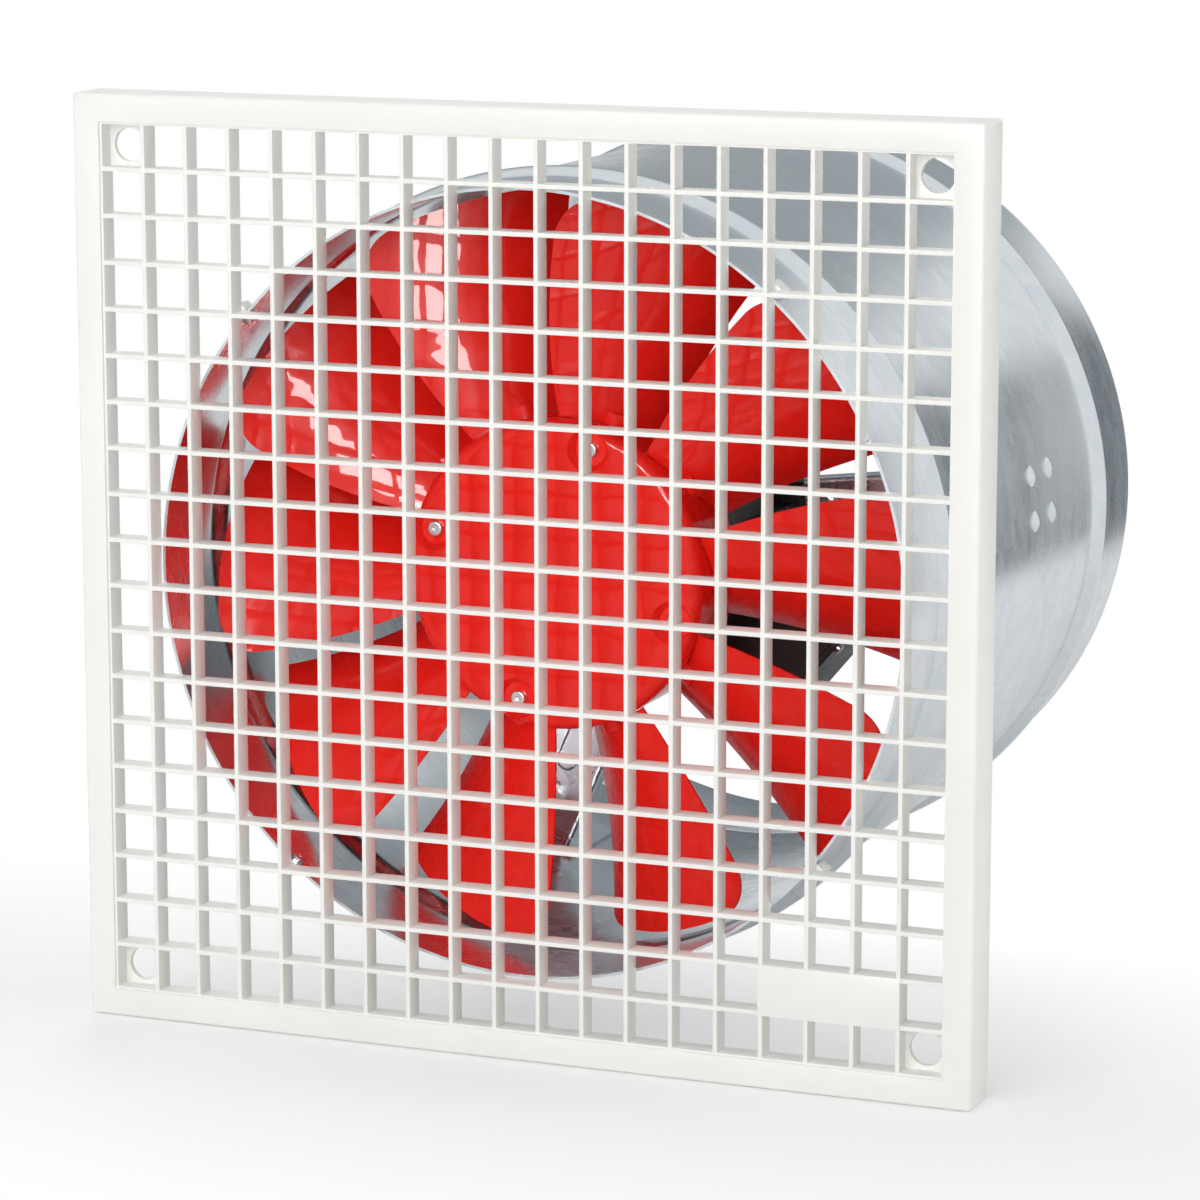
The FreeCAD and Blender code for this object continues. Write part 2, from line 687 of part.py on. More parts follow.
def front_shield():
    """The end shield on the impeller side, with the front bearing's seat."""
    disc = rod(SHIELD_RADIUS, shield_front, barrel_front)
    rim = flat_edges(disc, shield_front)
    disc = disc.makeFillet(SHIELD_ROUNDING, rim)
    spigot = rod(barrel_bore - SLIP, barrel_front - 1, barrel_front + SPIGOT_LENGTH)
    body = disc.fuse(spigot).removeSplitter()
    cuts = [rod(BEARING_RADIUS + SLIP, front_bearing, barrel_front + 6),
            rod(SEAT_RADIUS + 4.0, shield_front - 1, barrel_front),
            ring(barrel_bore - 8, BEARING_RADIUS + 6, barrel_front - 6, barrel_front + 6)]
    for x, z in shield_screw_places():
        cuts.append(rod_at(M4 + HOLE_CLEARANCE, x, z, shield_front - 1, barrel_front + 1))
    return body.cut(cuts)


def rear_shield():
    """The closed end shield, with radial ribs outside and the rear bearing's seat."""
    step = shield_back - SHIELD_STEP
    disc = rod(SHIELD_RADIUS, barrel_back, step)
    cap = rod(BEARING_RADIUS + 8, barrel_back, shield_back)
    rib = block(BEARING_RADIUS, SHIELD_RADIUS - 12, shield_back - 7, shield_back - 2, -1.5, 1.5)
    spigot = rod(barrel_bore - SLIP, barrel_back - SPIGOT_LENGTH, barrel_back + 1)
    rim = flat_edges(disc, step)
    disc = disc.makeFillet(SHIELD_ROUNDING, rim)
    body = join([disc, cap, spigot] + around(rib, SHIELD_RIBS, 180.0 / SHIELD_RIBS))
    cuts = [rod(BEARING_RADIUS + SLIP, barrel_back - 6, rear_bearing + BEARING_WIDTH),
            ring(barrel_bore - 8, BEARING_RADIUS + 6, barrel_back - 6, barrel_back + 4)]
    for x, z in shield_screw_places():
        cuts.append(rod_at(M4 + HOLE_CLEARANCE, x, z, barrel_back - 1, shield_back))
    return body.cut(cuts)


def pan_screw(x, z, seat, length, outward):
    """A pan-head screw parallel to the axis; outward is the side its head is on, -1 or 1."""
    top = seat + outward * PAN_HEAD_HEIGHT
    tip = seat - outward * length
    head = rod_at(2 * M4, x, z, min(seat, top), max(seat, top))
    face = flat_edges(head, top)
    head = head.makeFillet(PAN_HEAD_ROUNDING, face)
    drive_ends = sorted((top - outward * PAN_DRIVE_DEPTH, top + outward))
    drive = hexagon(x, z, PAN_DRIVE_ACROSS, drive_ends[0], drive_ends[1])
    root = seat + outward * 0.5
    shank = rod_at(M4, x, z, min(root, tip), max(root, tip))
    return head.fuse(shank).cut(drive).removeSplitter()


def stator_core():
    """The slotted lamination stack."""
    core = ring(barrel_bore - SLIP, STATOR_BORE, stator_front, stator_back)
    slot = block(STATOR_BORE - 1, barrel_bore - SLOT_BACK_IRON, stator_front - 1, stator_back + 1,
                 -SLOT_HALF_WIDTH, SLOT_HALF_WIDTH)
    return core.cut(around(slot, SLOTS))


def stator_windings():
    """Copper in the slots and the end turns in front and behind."""
    half = SLOT_HALF_WIDTH - SLOT_LINING
    slot_end = barrel_bore - SLOT_BACK_IRON - 0.5
    bar = block(STATOR_BORE + 4, slot_end, stator_front - 1, stator_back + 1, -half, half)
    turns = []
    for y0, y1 in ((stator_front - END_TURNS, stator_front - SEAT_GAP),
                   (stator_back + SEAT_GAP, stator_back + END_TURNS)):
        coil = ring(barrel_bore - 4, STATOR_BORE + 3, y0, y1)
        outer = y0 if y0 < stator_front else y1
        rims = flat_edges(coil, outer)
        turns.append(coil.makeFillet(END_TURN_ROUNDING, rims))
    return turns[0].multiFuse([turns[1]] + around(bar, SLOTS))


def rotor_core():
    """The squirrel cage on the shaft."""
    radius = STATOR_BORE - AIR_GAP
    stack = rod(radius, stator_front, stator_back)
    rings = [ring(radius - 2, radius - 2 - CAGE_RING_WALL, stator_front - CAGE_RING_LENGTH, stator_front + 1),
             ring(radius - 2, radius - 2 - CAGE_RING_WALL, stator_back - 1, stator_back + CAGE_RING_LENGTH)]
    return join([stack] + rings).cut(rod(SHAFT_RADIUS + SLIP, stator_front - 8, stator_back + 8))


def rotor_shaft():
    """The stepped shaft, with a keyway and a tapped end for the hub."""
    steps = [rod(SHAFT_END_RADIUS, shaft_tip, shield_front + 1),
             rod(SEAT_RADIUS, shield_front, barrel_front + 1),
             rod(SHAFT_RADIUS, barrel_front + SHOULDER, barrel_back - SHOULDER),
             rod(SEAT_RADIUS, barrel_back - 1, rear_bearing + BEARING_WIDTH - SHOULDER)]
    shaft = join(steps)
    keyway = block(KEY_FLOOR, SHAFT_END_RADIUS + 1, key_front, key_back, -KEY_WIDTH / 2, KEY_WIDTH / 2)
    return shaft.cut([keyway, rod(M6 + THREAD_CLEARANCE, shaft_tip - 1, shaft_tip + SHAFT_THREAD)])


def bearing_places():
    """Where the two bearings start."""
    return [front_bearing, rear_bearing]


def bearing_outer_race(y):
    """Outer race with its ball groove."""
    groove = Part.makeTorus(BALL_PITCH, BALL_RADIUS + SEAT_GAP, V(0, y + BEARING_WIDTH / 2, 0), AXIAL)
    return ring(BEARING_RADIUS, BALL_PITCH + RACE_CLEARANCE, y, y + BEARING_WIDTH).cut(groove)


def bearing_inner_race(y):
    """Inner race with its ball groove."""
    groove = Part.makeTorus(BALL_PITCH, BALL_RADIUS + SEAT_GAP, V(0, y + BEARING_WIDTH / 2, 0), AXIAL)
    return ring(BALL_PITCH - RACE_CLEARANCE, SEAT_RADIUS + 0.01, y, y + BEARING_WIDTH).cut(groove)


def bearing_balls(y):
    """The balls of one bearing."""
    ball = Part.makeSphere(BALL_RADIUS, V(BALL_PITCH, y + BEARING_WIDTH / 2, 0))
    return around(ball, BALLS)


def bearing_cage(y):
    """A flat cage ring with a pocket for each ball."""
    cage = ring(BALL_PITCH + CAGE_HALF_WALL, BALL_PITCH - CAGE_HALF_WALL, y + CAGE_SETBACK,
                y + BEARING_WIDTH - CAGE_SETBACK)
    pocket = Part.makeSphere(BALL_RADIUS + SEAT_GAP, V(BALL_PITCH, y + BEARING_WIDTH / 2, 0))
    return cage.cut(around(pocket, BALLS))


def save_motor():
    """The motor's own pieces."""
    save("motor_housing", motor_housing())
    save("motor_front_shield", front_shield())
    save("motor_rear_shield", rear_shield())
    screws = []
    for x, z in shield_screw_places():
        screws.append(pan_screw(x, z, shield_front, SHIELD_THICKNESS + 11, -1))
        screws.append(pan_screw(x, z, shield_back - SHIELD_STEP, SHIELD_THICKNESS + 9, 1))
    save_group("shield_screws", screws)
    save("stator_core", stator_core())
    save("stator_windings", stator_windings())
    save("rotor_core", rotor_core())
    save("rotor_shaft", rotor_shaft())
    save_group("bearing_outer_races", [bearing_outer_race(y) for y in bearing_places()])
    save_group("bearing_inner_races", [bearing_inner_race(y) for y in bearing_places()])
    save_group("bearing_balls", [ball for y in bearing_places() for ball in bearing_balls(y)])
    save_group("bearing_cages", [bearing_cage(y) for y in bearing_places()])


# ---------------------------------------------------------------- terminal box

def box_screw_places():
    """Four screws that hold the box to the motor, as (y, z)."""
    ys = (box_front + BOX_SCREW_INSET, box_back - BOX_SCREW_INSET)
    return [(y, z) for y in ys for z in (-BOX_SCREW_HALF_SPACING, BOX_SCREW_HALF_SPACING)]


def lid_screw_places():
    """Four screws in the box's corner posts, as (y, z)."""
    edge = BOX_WIDTH / 2.0 - BOX_POST_INSET
    return [(y, z) for y in (box_front + BOX_POST_INSET, box_back - BOX_POST_INSET) for z in (-edge, edge)]


def terminal_box():
    """An open box with corner posts, a cradle for the capacitor and the gland's hole."""
    half = BOX_WIDTH / 2.0
    solid = block(box_floor, box_top, box_front, box_back, -half, half)
    upright = [e for e in solid.Edges if e.BoundBox.XLength > BOX_HEIGHT / 2]
    outline = solid.makeFillet(BOX_CORNER, upright)
    room = block(box_floor + BOX_WALL, box_top + 1, box_front + BOX_WALL, box_back - BOX_WALL,
                 -half + BOX_WALL, half - BOX_WALL)
    shell = outline.cut(room)
    posts = [spoke(BOX_POST_RADIUS, box_floor + 1, box_top, y, z) for y, z in lid_screw_places()]
    ribs = [block(box_floor + 1, capacitor_x, y, y + 3, capacitor_z - 11, capacitor_z + 11)
            for y in (capacitor_front + 12, capacitor_front + CAPACITOR_LENGTH - 15)]
    body = shell.multiFuse(posts + ribs)
    body = body.common(outline)
    cuts = [rod_at(CAPACITOR_RADIUS + SEAT_GAP, capacitor_x, capacitor_z, box_front + 3, box_back - 3),
            rod_at(GLAND_THREAD_RADIUS + HOLE_CLEARANCE, gland_x, gland_z, box_back - 5, box_back + 5),
            spoke(LEAD_HOLE_RADIUS, box_floor - 1, box_floor + BOX_WALL + 1, lead_hole_y)]
    for y, z in box_screw_places():
        cuts.append(spoke(M4 + HOLE_CLEARANCE, box_floor - 1, box_floor + BOX_WALL + 1, y, z))
    for y, z in lid_screw_places():
        cuts.append(spoke(LID_SCREW_RADIUS + THREAD_CLEARANCE, box_top - LID_SCREW_LENGTH, box_top + 1, y, z))
    return body.cut(cuts)


def lid_outline(x0, x1):
    """A flat plate of the box's outline with the lid screw holes."""
    half = BOX_WIDTH / 2.0
    plate = block(x0, x1, box_front, box_back, -half, half)
    upright = [e for e in plate.Edges if e.BoundBox.YLength < SLIP and e.BoundBox.ZLength < SLIP]
    plate = plate.makeFillet(BOX_CORNER, upright)
    radius = LID_SCREW_RADIUS + HOLE_CLEARANCE
    return plate.cut([spoke(radius, x0 - 1, x1 + 1, y, z) for y, z in lid_screw_places()])


def box_gasket():
    """A flat gasket under the lid."""
    half = BOX_WIDTH / 2.0
    below = box_top - 1
    above = box_top + GASKET + 1
    tall = block(below, above, box_front + GASKET_LAND, box_back - GASKET_LAND,
                 -half + BOX_WALL, half - BOX_WALL)
    wide = block(below, above, box_front + BOX_WALL, box_back - BOX_WALL,
                 -half + GASKET_LAND, half - GASKET_LAND)
    return lid_outline(box_top, box_top + GASKET).cut([tall, wide])


def box_lid():
    """The lid, with its outer edge rounded."""
    under = box_top + GASKET
    lid = lid_outline(under, under + LID_THICKNESS)
    top = under + LID_THICKNESS
    rim = [e for e in lid.Edges if e.BoundBox.XMin > top - SLIP and not e.isClosed()]
    return lid.makeFillet(LID_ROUNDING, rim)


def radial_screw(radius, seat, length, y, z):
    """A pan-head screw that points at the fan axis."""
    top = seat + 2.2
    head = spoke(2 * radius, seat, top, y, z)
    rim = [e for e in head.Edges if abs(e.BoundBox.Center.x - top) < SLIP and e.BoundBox.XLength < SLIP]
    head = head.makeFillet(0.9, rim)
    slot = block(seat + 1.2, seat + 3, y - 2 * radius, y + 2 * radius, z - 0.35, z + 0.35)
    return head.fuse(spoke(radius, seat - length, seat + 0.5, y, z)).cut(slot).removeSplitter()


def run_capacitor():
    """The capacitor can, with two blade terminals."""
    end = capacitor_front + CAPACITOR_LENGTH
    can = rod_at(CAPACITOR_RADIUS, capacitor_x, capacitor_z, capacitor_front, end)
    rims = [e for e in can.Edges if e.BoundBox.YLength < SLIP]
    can = can.makeFillet(1.5, rims)
    blades = [block(capacitor_x - 3, capacitor_x + 3, end - 1, end + 6, z - 0.4, z + 0.4)
              for z in (capacitor_z - 5, capacitor_z + 5)]
    return can.multiFuse(blades)


def terminal_block():
    """A three-way screw terminal block."""
    y0 = box_front + 20.0
    seat = box_floor + BOX_WALL
    base = block(seat, seat + TERMINAL_HEIGHT, y0, y0 + TERMINAL_WAYS * TERMINAL_PITCH, 6, 24)
    wells = [spoke(2.8, seat + 8, box_floor + 40, y0 + TERMINAL_PITCH * (i + 0.5), z)
             for i in range(TERMINAL_WAYS) for z in (11, 19)]
    return base.cut(wells + [spoke(6.5, box_floor, box_floor + BOX_WALL + 6, lead_hole_y)])


def gland_body():
    """The gland's threaded body with its hexagon outside the box wall."""
    outer = hexagon(gland_x, gland_z, GLAND_ACROSS, box_back, box_back + GLAND_HEX_LENGTH)
    start = box_back - BOX_WALL - GLAND_HEX_LENGTH - 1
    neck = rod_at(GLAND_THREAD_RADIUS, gland_x, gland_z, start, box_back + GLAND_NECK_LENGTH)
    bore = rod_at(CABLE_RADIUS + 1.5, gland_x, gland_z, start - 1, box_back + GLAND_NECK_LENGTH + 1)
    return outer.fuse(neck).removeSplitter().cut(bore)


def gland_locknut():
    """The nut inside the box."""
    end = box_back - BOX_WALL
    start = end - GLAND_HEX_LENGTH
    nut = hexagon(gland_x, gland_z, GLAND_ACROSS, start, end)
    bore = rod_at(GLAND_THREAD_RADIUS + THREAD_CLEARANCE, gland_x, gland_z, start - 1, end + 1)
    return nut.cut(bore)


def gland_nut():
    """The domed clamping nut."""
    start = box_back + GLAND_HEX_LENGTH + 0.5
    shoulder = start + GLAND_NUT_LENGTH
    nut = hexagon(gland_x, gland_z, GLAND_NUT_ACROSS, start, shoulder)
    dome = Part.makeCone(GLAND_NUT_ACROSS / 2.0, GLAND_DOME_RADIUS, GLAND_DOME_LENGTH,
                         V(gland_x, shoulder, gland_z), AXIAL)
    nut = nut.fuse(dome).removeSplitter()
    inside = rod_at(GLAND_THREAD_RADIUS + THREAD_CLEARANCE, gland_x, gland_z, start - 1, start + 10)
    return nut.cut([inside, rod_at(CABLE_RADIUS + 0.6, gland_x, gland_z, start, start + 20)])


def gland_seal():
    """The rubber sleeve that grips the cable."""
    sleeve = rod_at(CABLE_RADIUS + 1.45, gland_x, gland_z, box_back + 2, box_back + 15.4)
    return sleeve.cut(rod_at(CABLE_RADIUS, gland_x, gland_z, box_back, box_back + 20))


def save_box():
    """The terminal box, turned to its place on the barrel."""
    save("terminal_box", spin(terminal_box(), BOX_ANGLE))
    save("terminal_box_gasket", spin(box_gasket(), BOX_ANGLE))
    save("terminal_box_lid", spin(box_lid(), BOX_ANGLE))
    lid_seat = box_top + GASKET + LID_THICKNESS
    lid_screws = [spin(radial_screw(LID_SCREW_RADIUS, lid_seat, LID_SCREW_LENGTH, y, z), BOX_ANGLE)
                  for y, z in lid_screw_places()]
    save_group("lid_screws", lid_screws)
    box_screws = [spin(radial_screw(M4, box_floor + BOX_WALL, BOX_SCREW_LENGTH, y, z), BOX_ANGLE)
                  for y, z in box_screw_places()]
    save_group("terminal_box_screws", box_screws)
    save("run_capacitor", spin(run_capacitor(), BOX_ANGLE))
    save("terminal_block", spin(terminal_block(), BOX_ANGLE))
    save("cable_gland_body", spin(gland_body(), BOX_ANGLE))
    save("cable_gland_locknut", spin(gland_locknut(), BOX_ANGLE))
    save("cable_gland_nut", spin(gland_nut(), BOX_ANGLE))
    save("cable_gland_seal", spin(gland_seal(), BOX_ANGLE))


# ---------------------------------------------------------------- impeller

def blade_stub(grow):
    """The round root with its collar, grown by a clearance."""
    collar_end = collar_start + STUB_COLLAR_LENGTH
    stem = spoke(STUB_RADIUS + grow, stub_start - grow, HUB_RADIUS + 6.0, split_y)
    collar = spoke(STUB_RADIUS + STUB_COLLAR + grow, collar_start - grow, collar_end + grow, split_y)
    return stem.fuse(collar).removeSplitter()


def blade_span():
    """The span over which chord and pitch change, from inside the hub to beyond the tip."""
    return HUB_RADIUS - 8.0, tip_radius + 8.0


def blade_shape_at(x):
    """Chord and pitch at a distance from the axis."""
    start, end = blade_span()
    share = (x - start) / (end - start)
    across = ROOT_CHORD * math.cos(math.radians(ROOT_PITCH)) * (1 - share)
    across += TIP_CHORD * math.cos(math.radians(TIP_PITCH)) * share
    pitch = math.radians(ROOT_PITCH * (1 - share) + TIP_PITCH * share)
    return across / math.cos(pitch), pitch


def blade_sweep_at(x):
    """How far the middle of a section lies towards the leading edge; zero at root and tip."""
    start, end = blade_span()
    share = (x - start) / (end - start)
    return MID_SWEEP * 4.0 * share * (1 - share)


def blade_section(x):
    """A cambered section, convex towards the room."""
    chord, pitch = blade_shape_at(x)
    along = V(0, -math.sin(pitch), math.cos(pitch))
    out = V(0, -math.cos(pitch), -math.sin(pitch))
    centre = V(x, split_y, 0) - out * (chord * CAMBER / 2.0) + along * blade_sweep_at(x)
    near = centre + along * (chord / 2.0)
    far = centre - along * (chord / 2.0)
    crown = centre + out * (chord * CAMBER)
    edge = out * (BLADE_EDGE / 2.0)
    skin = out * (BLADE_THICKNESS / 2.0)
    top = Part.Arc(near + edge, crown + skin, far + edge).toShape()
    under = Part.Arc(far - edge, crown - skin, near - edge).toShape()
    ends = [Part.makeLine(far + edge, far - edge), Part.makeLine(near - edge, near + edge)]
    return Part.Wire([top, ends[0], under, ends[1]])


def blade_edge_at(x, side):
    """A point of the trimmed outline; side is 1 on the leading edge and -1 on the trailing one."""
    chord, pitch = blade_shape_at(x)
    across = side * (chord / 2.0 - BLADE_EDGE) + blade_sweep_at(x)
    return V(x, cover_front - 20, across * math.cos(pitch))


def blade_outline():
    """The blade's outline along the axis: swept sides, a round tip and rounded corners."""
    start, end = blade_span()
    middle = (start + end) / 2.0
    sides = [Part.Arc(*[blade_edge_at(x, side) for x in (start, middle, end)]).toShape() for side in (-1, 1)]
    root = Part.makeLine(blade_edge_at(start, -1), blade_edge_at(start, 1))
    tip = Part.makeLine(blade_edge_at(end, -1), blade_edge_at(end, 1))
    wire = Part.Wire([sides[0], tip, sides[1], root])
    outline = Part.Face(wire).extrude(V(0, shield_front - cover_front + 30, 0))
    outline = outline.common(ring(tip_radius, HUB_RADIUS + BODY_GAP, cover_front - 21, shield_front + 11))
    for radius, side in ((LEADING_CORNER, 1), (TRAILING_CORNER, -1)):
        for edge in outline.Edges:
            spot = edge.BoundBox.Center
            at_tip = edge.BoundBox.YLength > 20 and math.hypot(spot.x, spot.z) > tip_radius - 1
            if at_tip and spot.z * side > 0:
                outline = outline.makeFillet(radius, [edge])
                break
    return outline


def blade():
    """One blade with its root, at three o'clock."""
    start, end = blade_span()
    pitch = (end - start) / (BLADE_SECTIONS - 1)
    sections = [blade_section(start + pitch * i) for i in range(BLADE_SECTIONS)]
    foil = Part.makeLoft(sections, True, False).common(blade_outline())
    return foil.fuse(blade_stub(0.0)).removeSplitter()


def hub_cover():
    """The flat front cover with a rounded edge and four screw pockets."""
    disc = rod(HUB_RADIUS, cover_front, cover_back)
    rim = flat_edges(disc, cover_front)
    disc = disc.makeFillet(COVER_ROUNDING, rim)
    face = V(COVER_SCREW_CIRCLE, cover_front, 0)
    pocket = Part.makeCone(POCKET_TOP, POCKET_FLOOR, POCKET_DEPTH, face, AXIAL)
    hole = rod_at(M4 + HOLE_CLEARANCE, COVER_SCREW_CIRCLE, 0, cover_front, cover_back + 1)
    cuts = around(pocket, COVER_SCREWS, COVER_SCREW_PHASE) + around(hole, COVER_SCREWS, COVER_SCREW_PHASE)
    return disc.cut(cuts)


def blade_sockets():
    """The sockets that the two hub halves share."""
    return around(blade_stub(SLIP), BLADES, BLADE_PHASE)


def clamp_screw_phase():
    """Clamp screws sit midway between blades."""
    return BLADE_PHASE + 180.0 / BLADES


def hub_front_half():
    """The front half: a closed ring with half of each socket."""
    half = rod(HUB_RADIUS, cover_back, split_y)
    hollow = rod(ring_inner, cover_back + HUB_WEB - 1, split_y + 1)
    pilot = rod_at(M4 + THREAD_CLEARANCE, COVER_SCREW_CIRCLE, 0, cover_back - 1, cover_back + COVER_THREAD)
    tapped = rod_at(M5 + THREAD_CLEARANCE, clamp_circle, 0, split_y - CLAMP_THREAD, split_y + 1)
    cuts = [hollow] + blade_sockets()
    cuts += around(pilot, COVER_SCREWS, COVER_SCREW_PHASE)
    cuts += around(tapped, BLADES, clamp_screw_phase())
    return half.cut(cuts)


def hub_rear_half():
    """The rear half: a ring, a web and the boss that sits on the shaft."""
    outer = ring(HUB_RADIUS, ring_inner, split_y, hub_back)
    web = rod(ring_inner + 1, hub_back - HUB_PLATE_FRONT, hub_back - HUB_PLATE_BACK)
    boss = rod(BOSS_RADIUS, boss_tip, hub_back + 4)
    rib = block(BOSS_RADIUS - 2, ring_inner + 2, split_y + 4, hub_back - 2, -HUB_RIB_HALF, HUB_RIB_HALF)
    body = join([outer, web, boss] + around(rib, BLADES, BLADE_PHASE))
    through = rod_at(M5 + HOLE_CLEARANCE, clamp_circle, 0, split_y - 1, hub_back + 1)
    wide = CLAMP_HEAD_RADIUS + HOLE_CLEARANCE
    counterbore = rod_at(wide, clamp_circle, 0, hub_back - CLAMP_SEAT, hub_back + 1)
    half = KEY_WIDTH / 2 + SLIP
    keyway = block(0, KEY_FLOOR + KEY_HEIGHT + BODY_GAP, boss_tip - 1, hub_back + 6, -half, half)
    cuts = [rod(SHAFT_END_RADIUS + SLIP, boss_tip - 1, hub_back + 6), keyway] + blade_sockets()
    cuts += around(through, BLADES, clamp_screw_phase())
    cuts += around(counterbore, BLADES, clamp_screw_phase())
    return body.cut(cuts)


def clamp_screw():
    """A cheese-head screw that pulls the hub halves together."""
    seat = hub_back - CLAMP_SEAT
    head = rod_at(CLAMP_HEAD_RADIUS, clamp_circle, 0, seat, seat + CLAMP_HEAD_HEIGHT)
    head = head.cut(hexagon(clamp_circle, 0, 3.0, seat + 1.4, seat + 4))
    return head.fuse(rod_at(M5, clamp_circle, 0, split_y - 7, seat + 0.5))


def cover_screw():
    """A pan-head screw in its pocket."""
    return pan_screw(COVER_SCREW_CIRCLE, 0, cover_front + POCKET_DEPTH, COVER_SCREW_LENGTH, -1)


def save_impeller():
    """Hub, blades and what holds them on the shaft."""
    save("hub_cover", hub_cover())
    save("hub_front_half", hub_front_half())
    save("hub_rear_half", hub_rear_half())
    for i, one in enumerate(around(blade(), BLADES, BLADE_PHASE), 1):
        save("blade_%02d" % i, one)
    save_group("hub_cover_screws", around(cover_screw(), COVER_SCREWS, COVER_SCREW_PHASE))
    save_group("hub_clamp_screws", around(clamp_screw(), BLADES, clamp_screw_phase()))
    half = KEY_WIDTH / 2
    save("shaft_key", block(KEY_FLOOR, KEY_FLOOR + KEY_HEIGHT, key_front, key_back, -half, half))
    washer_front = boss_tip - END_WASHER_THICKNESS
    save("shaft_end_washer", ring(END_WASHER_RADIUS, M6 + WASHER_SLACK, washer_front, boss_tip))
    head = hexagon(0, 0, HEX_ACROSS, washer_front - END_SCREW_HEAD, washer_front)
    shank = rod(M6, washer_front - 0.5, shaft_tip + SHAFT_THREAD - 2)
    save("shaft_end_screw", head.fuse(shank).removeSplitter())


def main():
    os.makedirs("parts", exist_ok=True)
    save("front_grille", front_grille())
    save("label_plate", label_plate())
    save_group("grille_screws", around(grille_screw(), LUGS, lug_crossing()[1]))
    save("duct_tube", duct_tube())
    save_struts()
    save_motor()
    save_box()
    save_impeller()


main()
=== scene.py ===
"""The looks of an axial duct fan behind a square wall grille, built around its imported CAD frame."""

import logging
import math
from dataclasses import dataclass, field
from enum import Enum
from typing import Any, Callable, Iterable

import bmesh
import bpy
from mathutils import Matrix, Vector


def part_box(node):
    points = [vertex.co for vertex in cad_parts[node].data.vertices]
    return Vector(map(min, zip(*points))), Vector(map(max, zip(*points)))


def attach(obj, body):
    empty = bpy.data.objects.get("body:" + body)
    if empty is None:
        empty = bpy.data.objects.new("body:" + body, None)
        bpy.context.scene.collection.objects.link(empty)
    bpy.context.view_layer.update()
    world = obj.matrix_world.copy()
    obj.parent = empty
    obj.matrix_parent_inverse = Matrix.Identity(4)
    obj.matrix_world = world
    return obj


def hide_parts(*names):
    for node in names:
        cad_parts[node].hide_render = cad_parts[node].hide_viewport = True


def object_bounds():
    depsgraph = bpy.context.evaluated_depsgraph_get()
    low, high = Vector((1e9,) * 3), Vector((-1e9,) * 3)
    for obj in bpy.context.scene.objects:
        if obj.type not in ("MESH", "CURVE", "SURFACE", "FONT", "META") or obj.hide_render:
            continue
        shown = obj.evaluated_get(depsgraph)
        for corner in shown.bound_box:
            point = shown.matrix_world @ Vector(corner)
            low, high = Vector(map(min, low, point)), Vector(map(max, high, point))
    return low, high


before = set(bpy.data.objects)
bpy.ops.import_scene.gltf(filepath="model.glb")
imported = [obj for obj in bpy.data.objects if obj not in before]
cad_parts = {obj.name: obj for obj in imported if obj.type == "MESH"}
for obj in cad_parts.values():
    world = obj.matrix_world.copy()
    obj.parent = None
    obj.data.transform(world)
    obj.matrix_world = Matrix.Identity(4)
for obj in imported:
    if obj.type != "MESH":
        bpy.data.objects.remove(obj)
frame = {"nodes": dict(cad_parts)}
CAD_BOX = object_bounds()

log = logging.getLogger("duct_fan")

MM = 0.001
FIXED_BODY = "fan_body"
AXIS = Vector((0.0, 1.0, 0.0))
# patterns that run round the axis are unrolled at this radius
UNROLL_RADIUS = 0.2
# two places closer than this are the same place
TOUCH = 0.01 * MM
# edges that turn more than this stay crisp when a piece is shaded smooth
SHARP_DEGREES = 32.0
# radians past which an edge is a fold between two walls and not part of one of them
FOLD = 1.0

Tree = bpy.types.NodeTree
Socket = bpy.types.NodeSocket
Piece = bpy.types.Object


# ---------------------------------------------------------------- node and colour helpers

def linear(hex_colour: str) -> tuple[float, float, float, float]:
    """Turns an sRGB hex colour into linear light.

    Args:
        hex_colour: Six hex digits, such as "D9201C".

    Returns:
        Red, green, blue and an alpha of 1.
    """
    def channel(pair: str) -> float:
        """One channel, from 00-FF to linear."""
        value = int(pair, 16) / 255.0
        return value / 12.92 if value <= 0.04045 else ((value + 0.055) / 1.055) ** 2.4
    return (*(channel(hex_colour[i:i + 2]) for i in (0, 2, 4)), 1.0)


def add(tree: Tree, kind: str, inputs: dict[str | int, Any] | None = None,
        **settings: Any) -> bpy.types.Node:
    """Adds one node with its settings, values and links.

    Args:
        tree: The node tree that it goes in.
        kind: Blender's type name for the node.
        inputs: What each input takes: a socket is linked, anything else is set.
        **settings: Properties of the node itself.

    Returns:
        The new node.
    """
    node = tree.nodes.new(kind)
    for name, value in settings.items():
        setattr(node, name, value)
    for name, value in (inputs or {}).items():
        if isinstance(value, bpy.types.NodeSocket):
            tree.links.new(value, node.inputs[name])
        else:
            node.inputs[name].default_value = value
    return node


def empty_material(name: str) -> bpy.types.Material:
    """Makes a material whose tree has no nodes yet."""
    material = bpy.data.materials.new(name)
    material.use_nodes = True
    material.node_tree.nodes.clear()
    return material


class Layout(Enum):
    """How a pattern lies on a piece."""

    PLAIN = "plain"
    ROUND_AXIS = "round_axis"


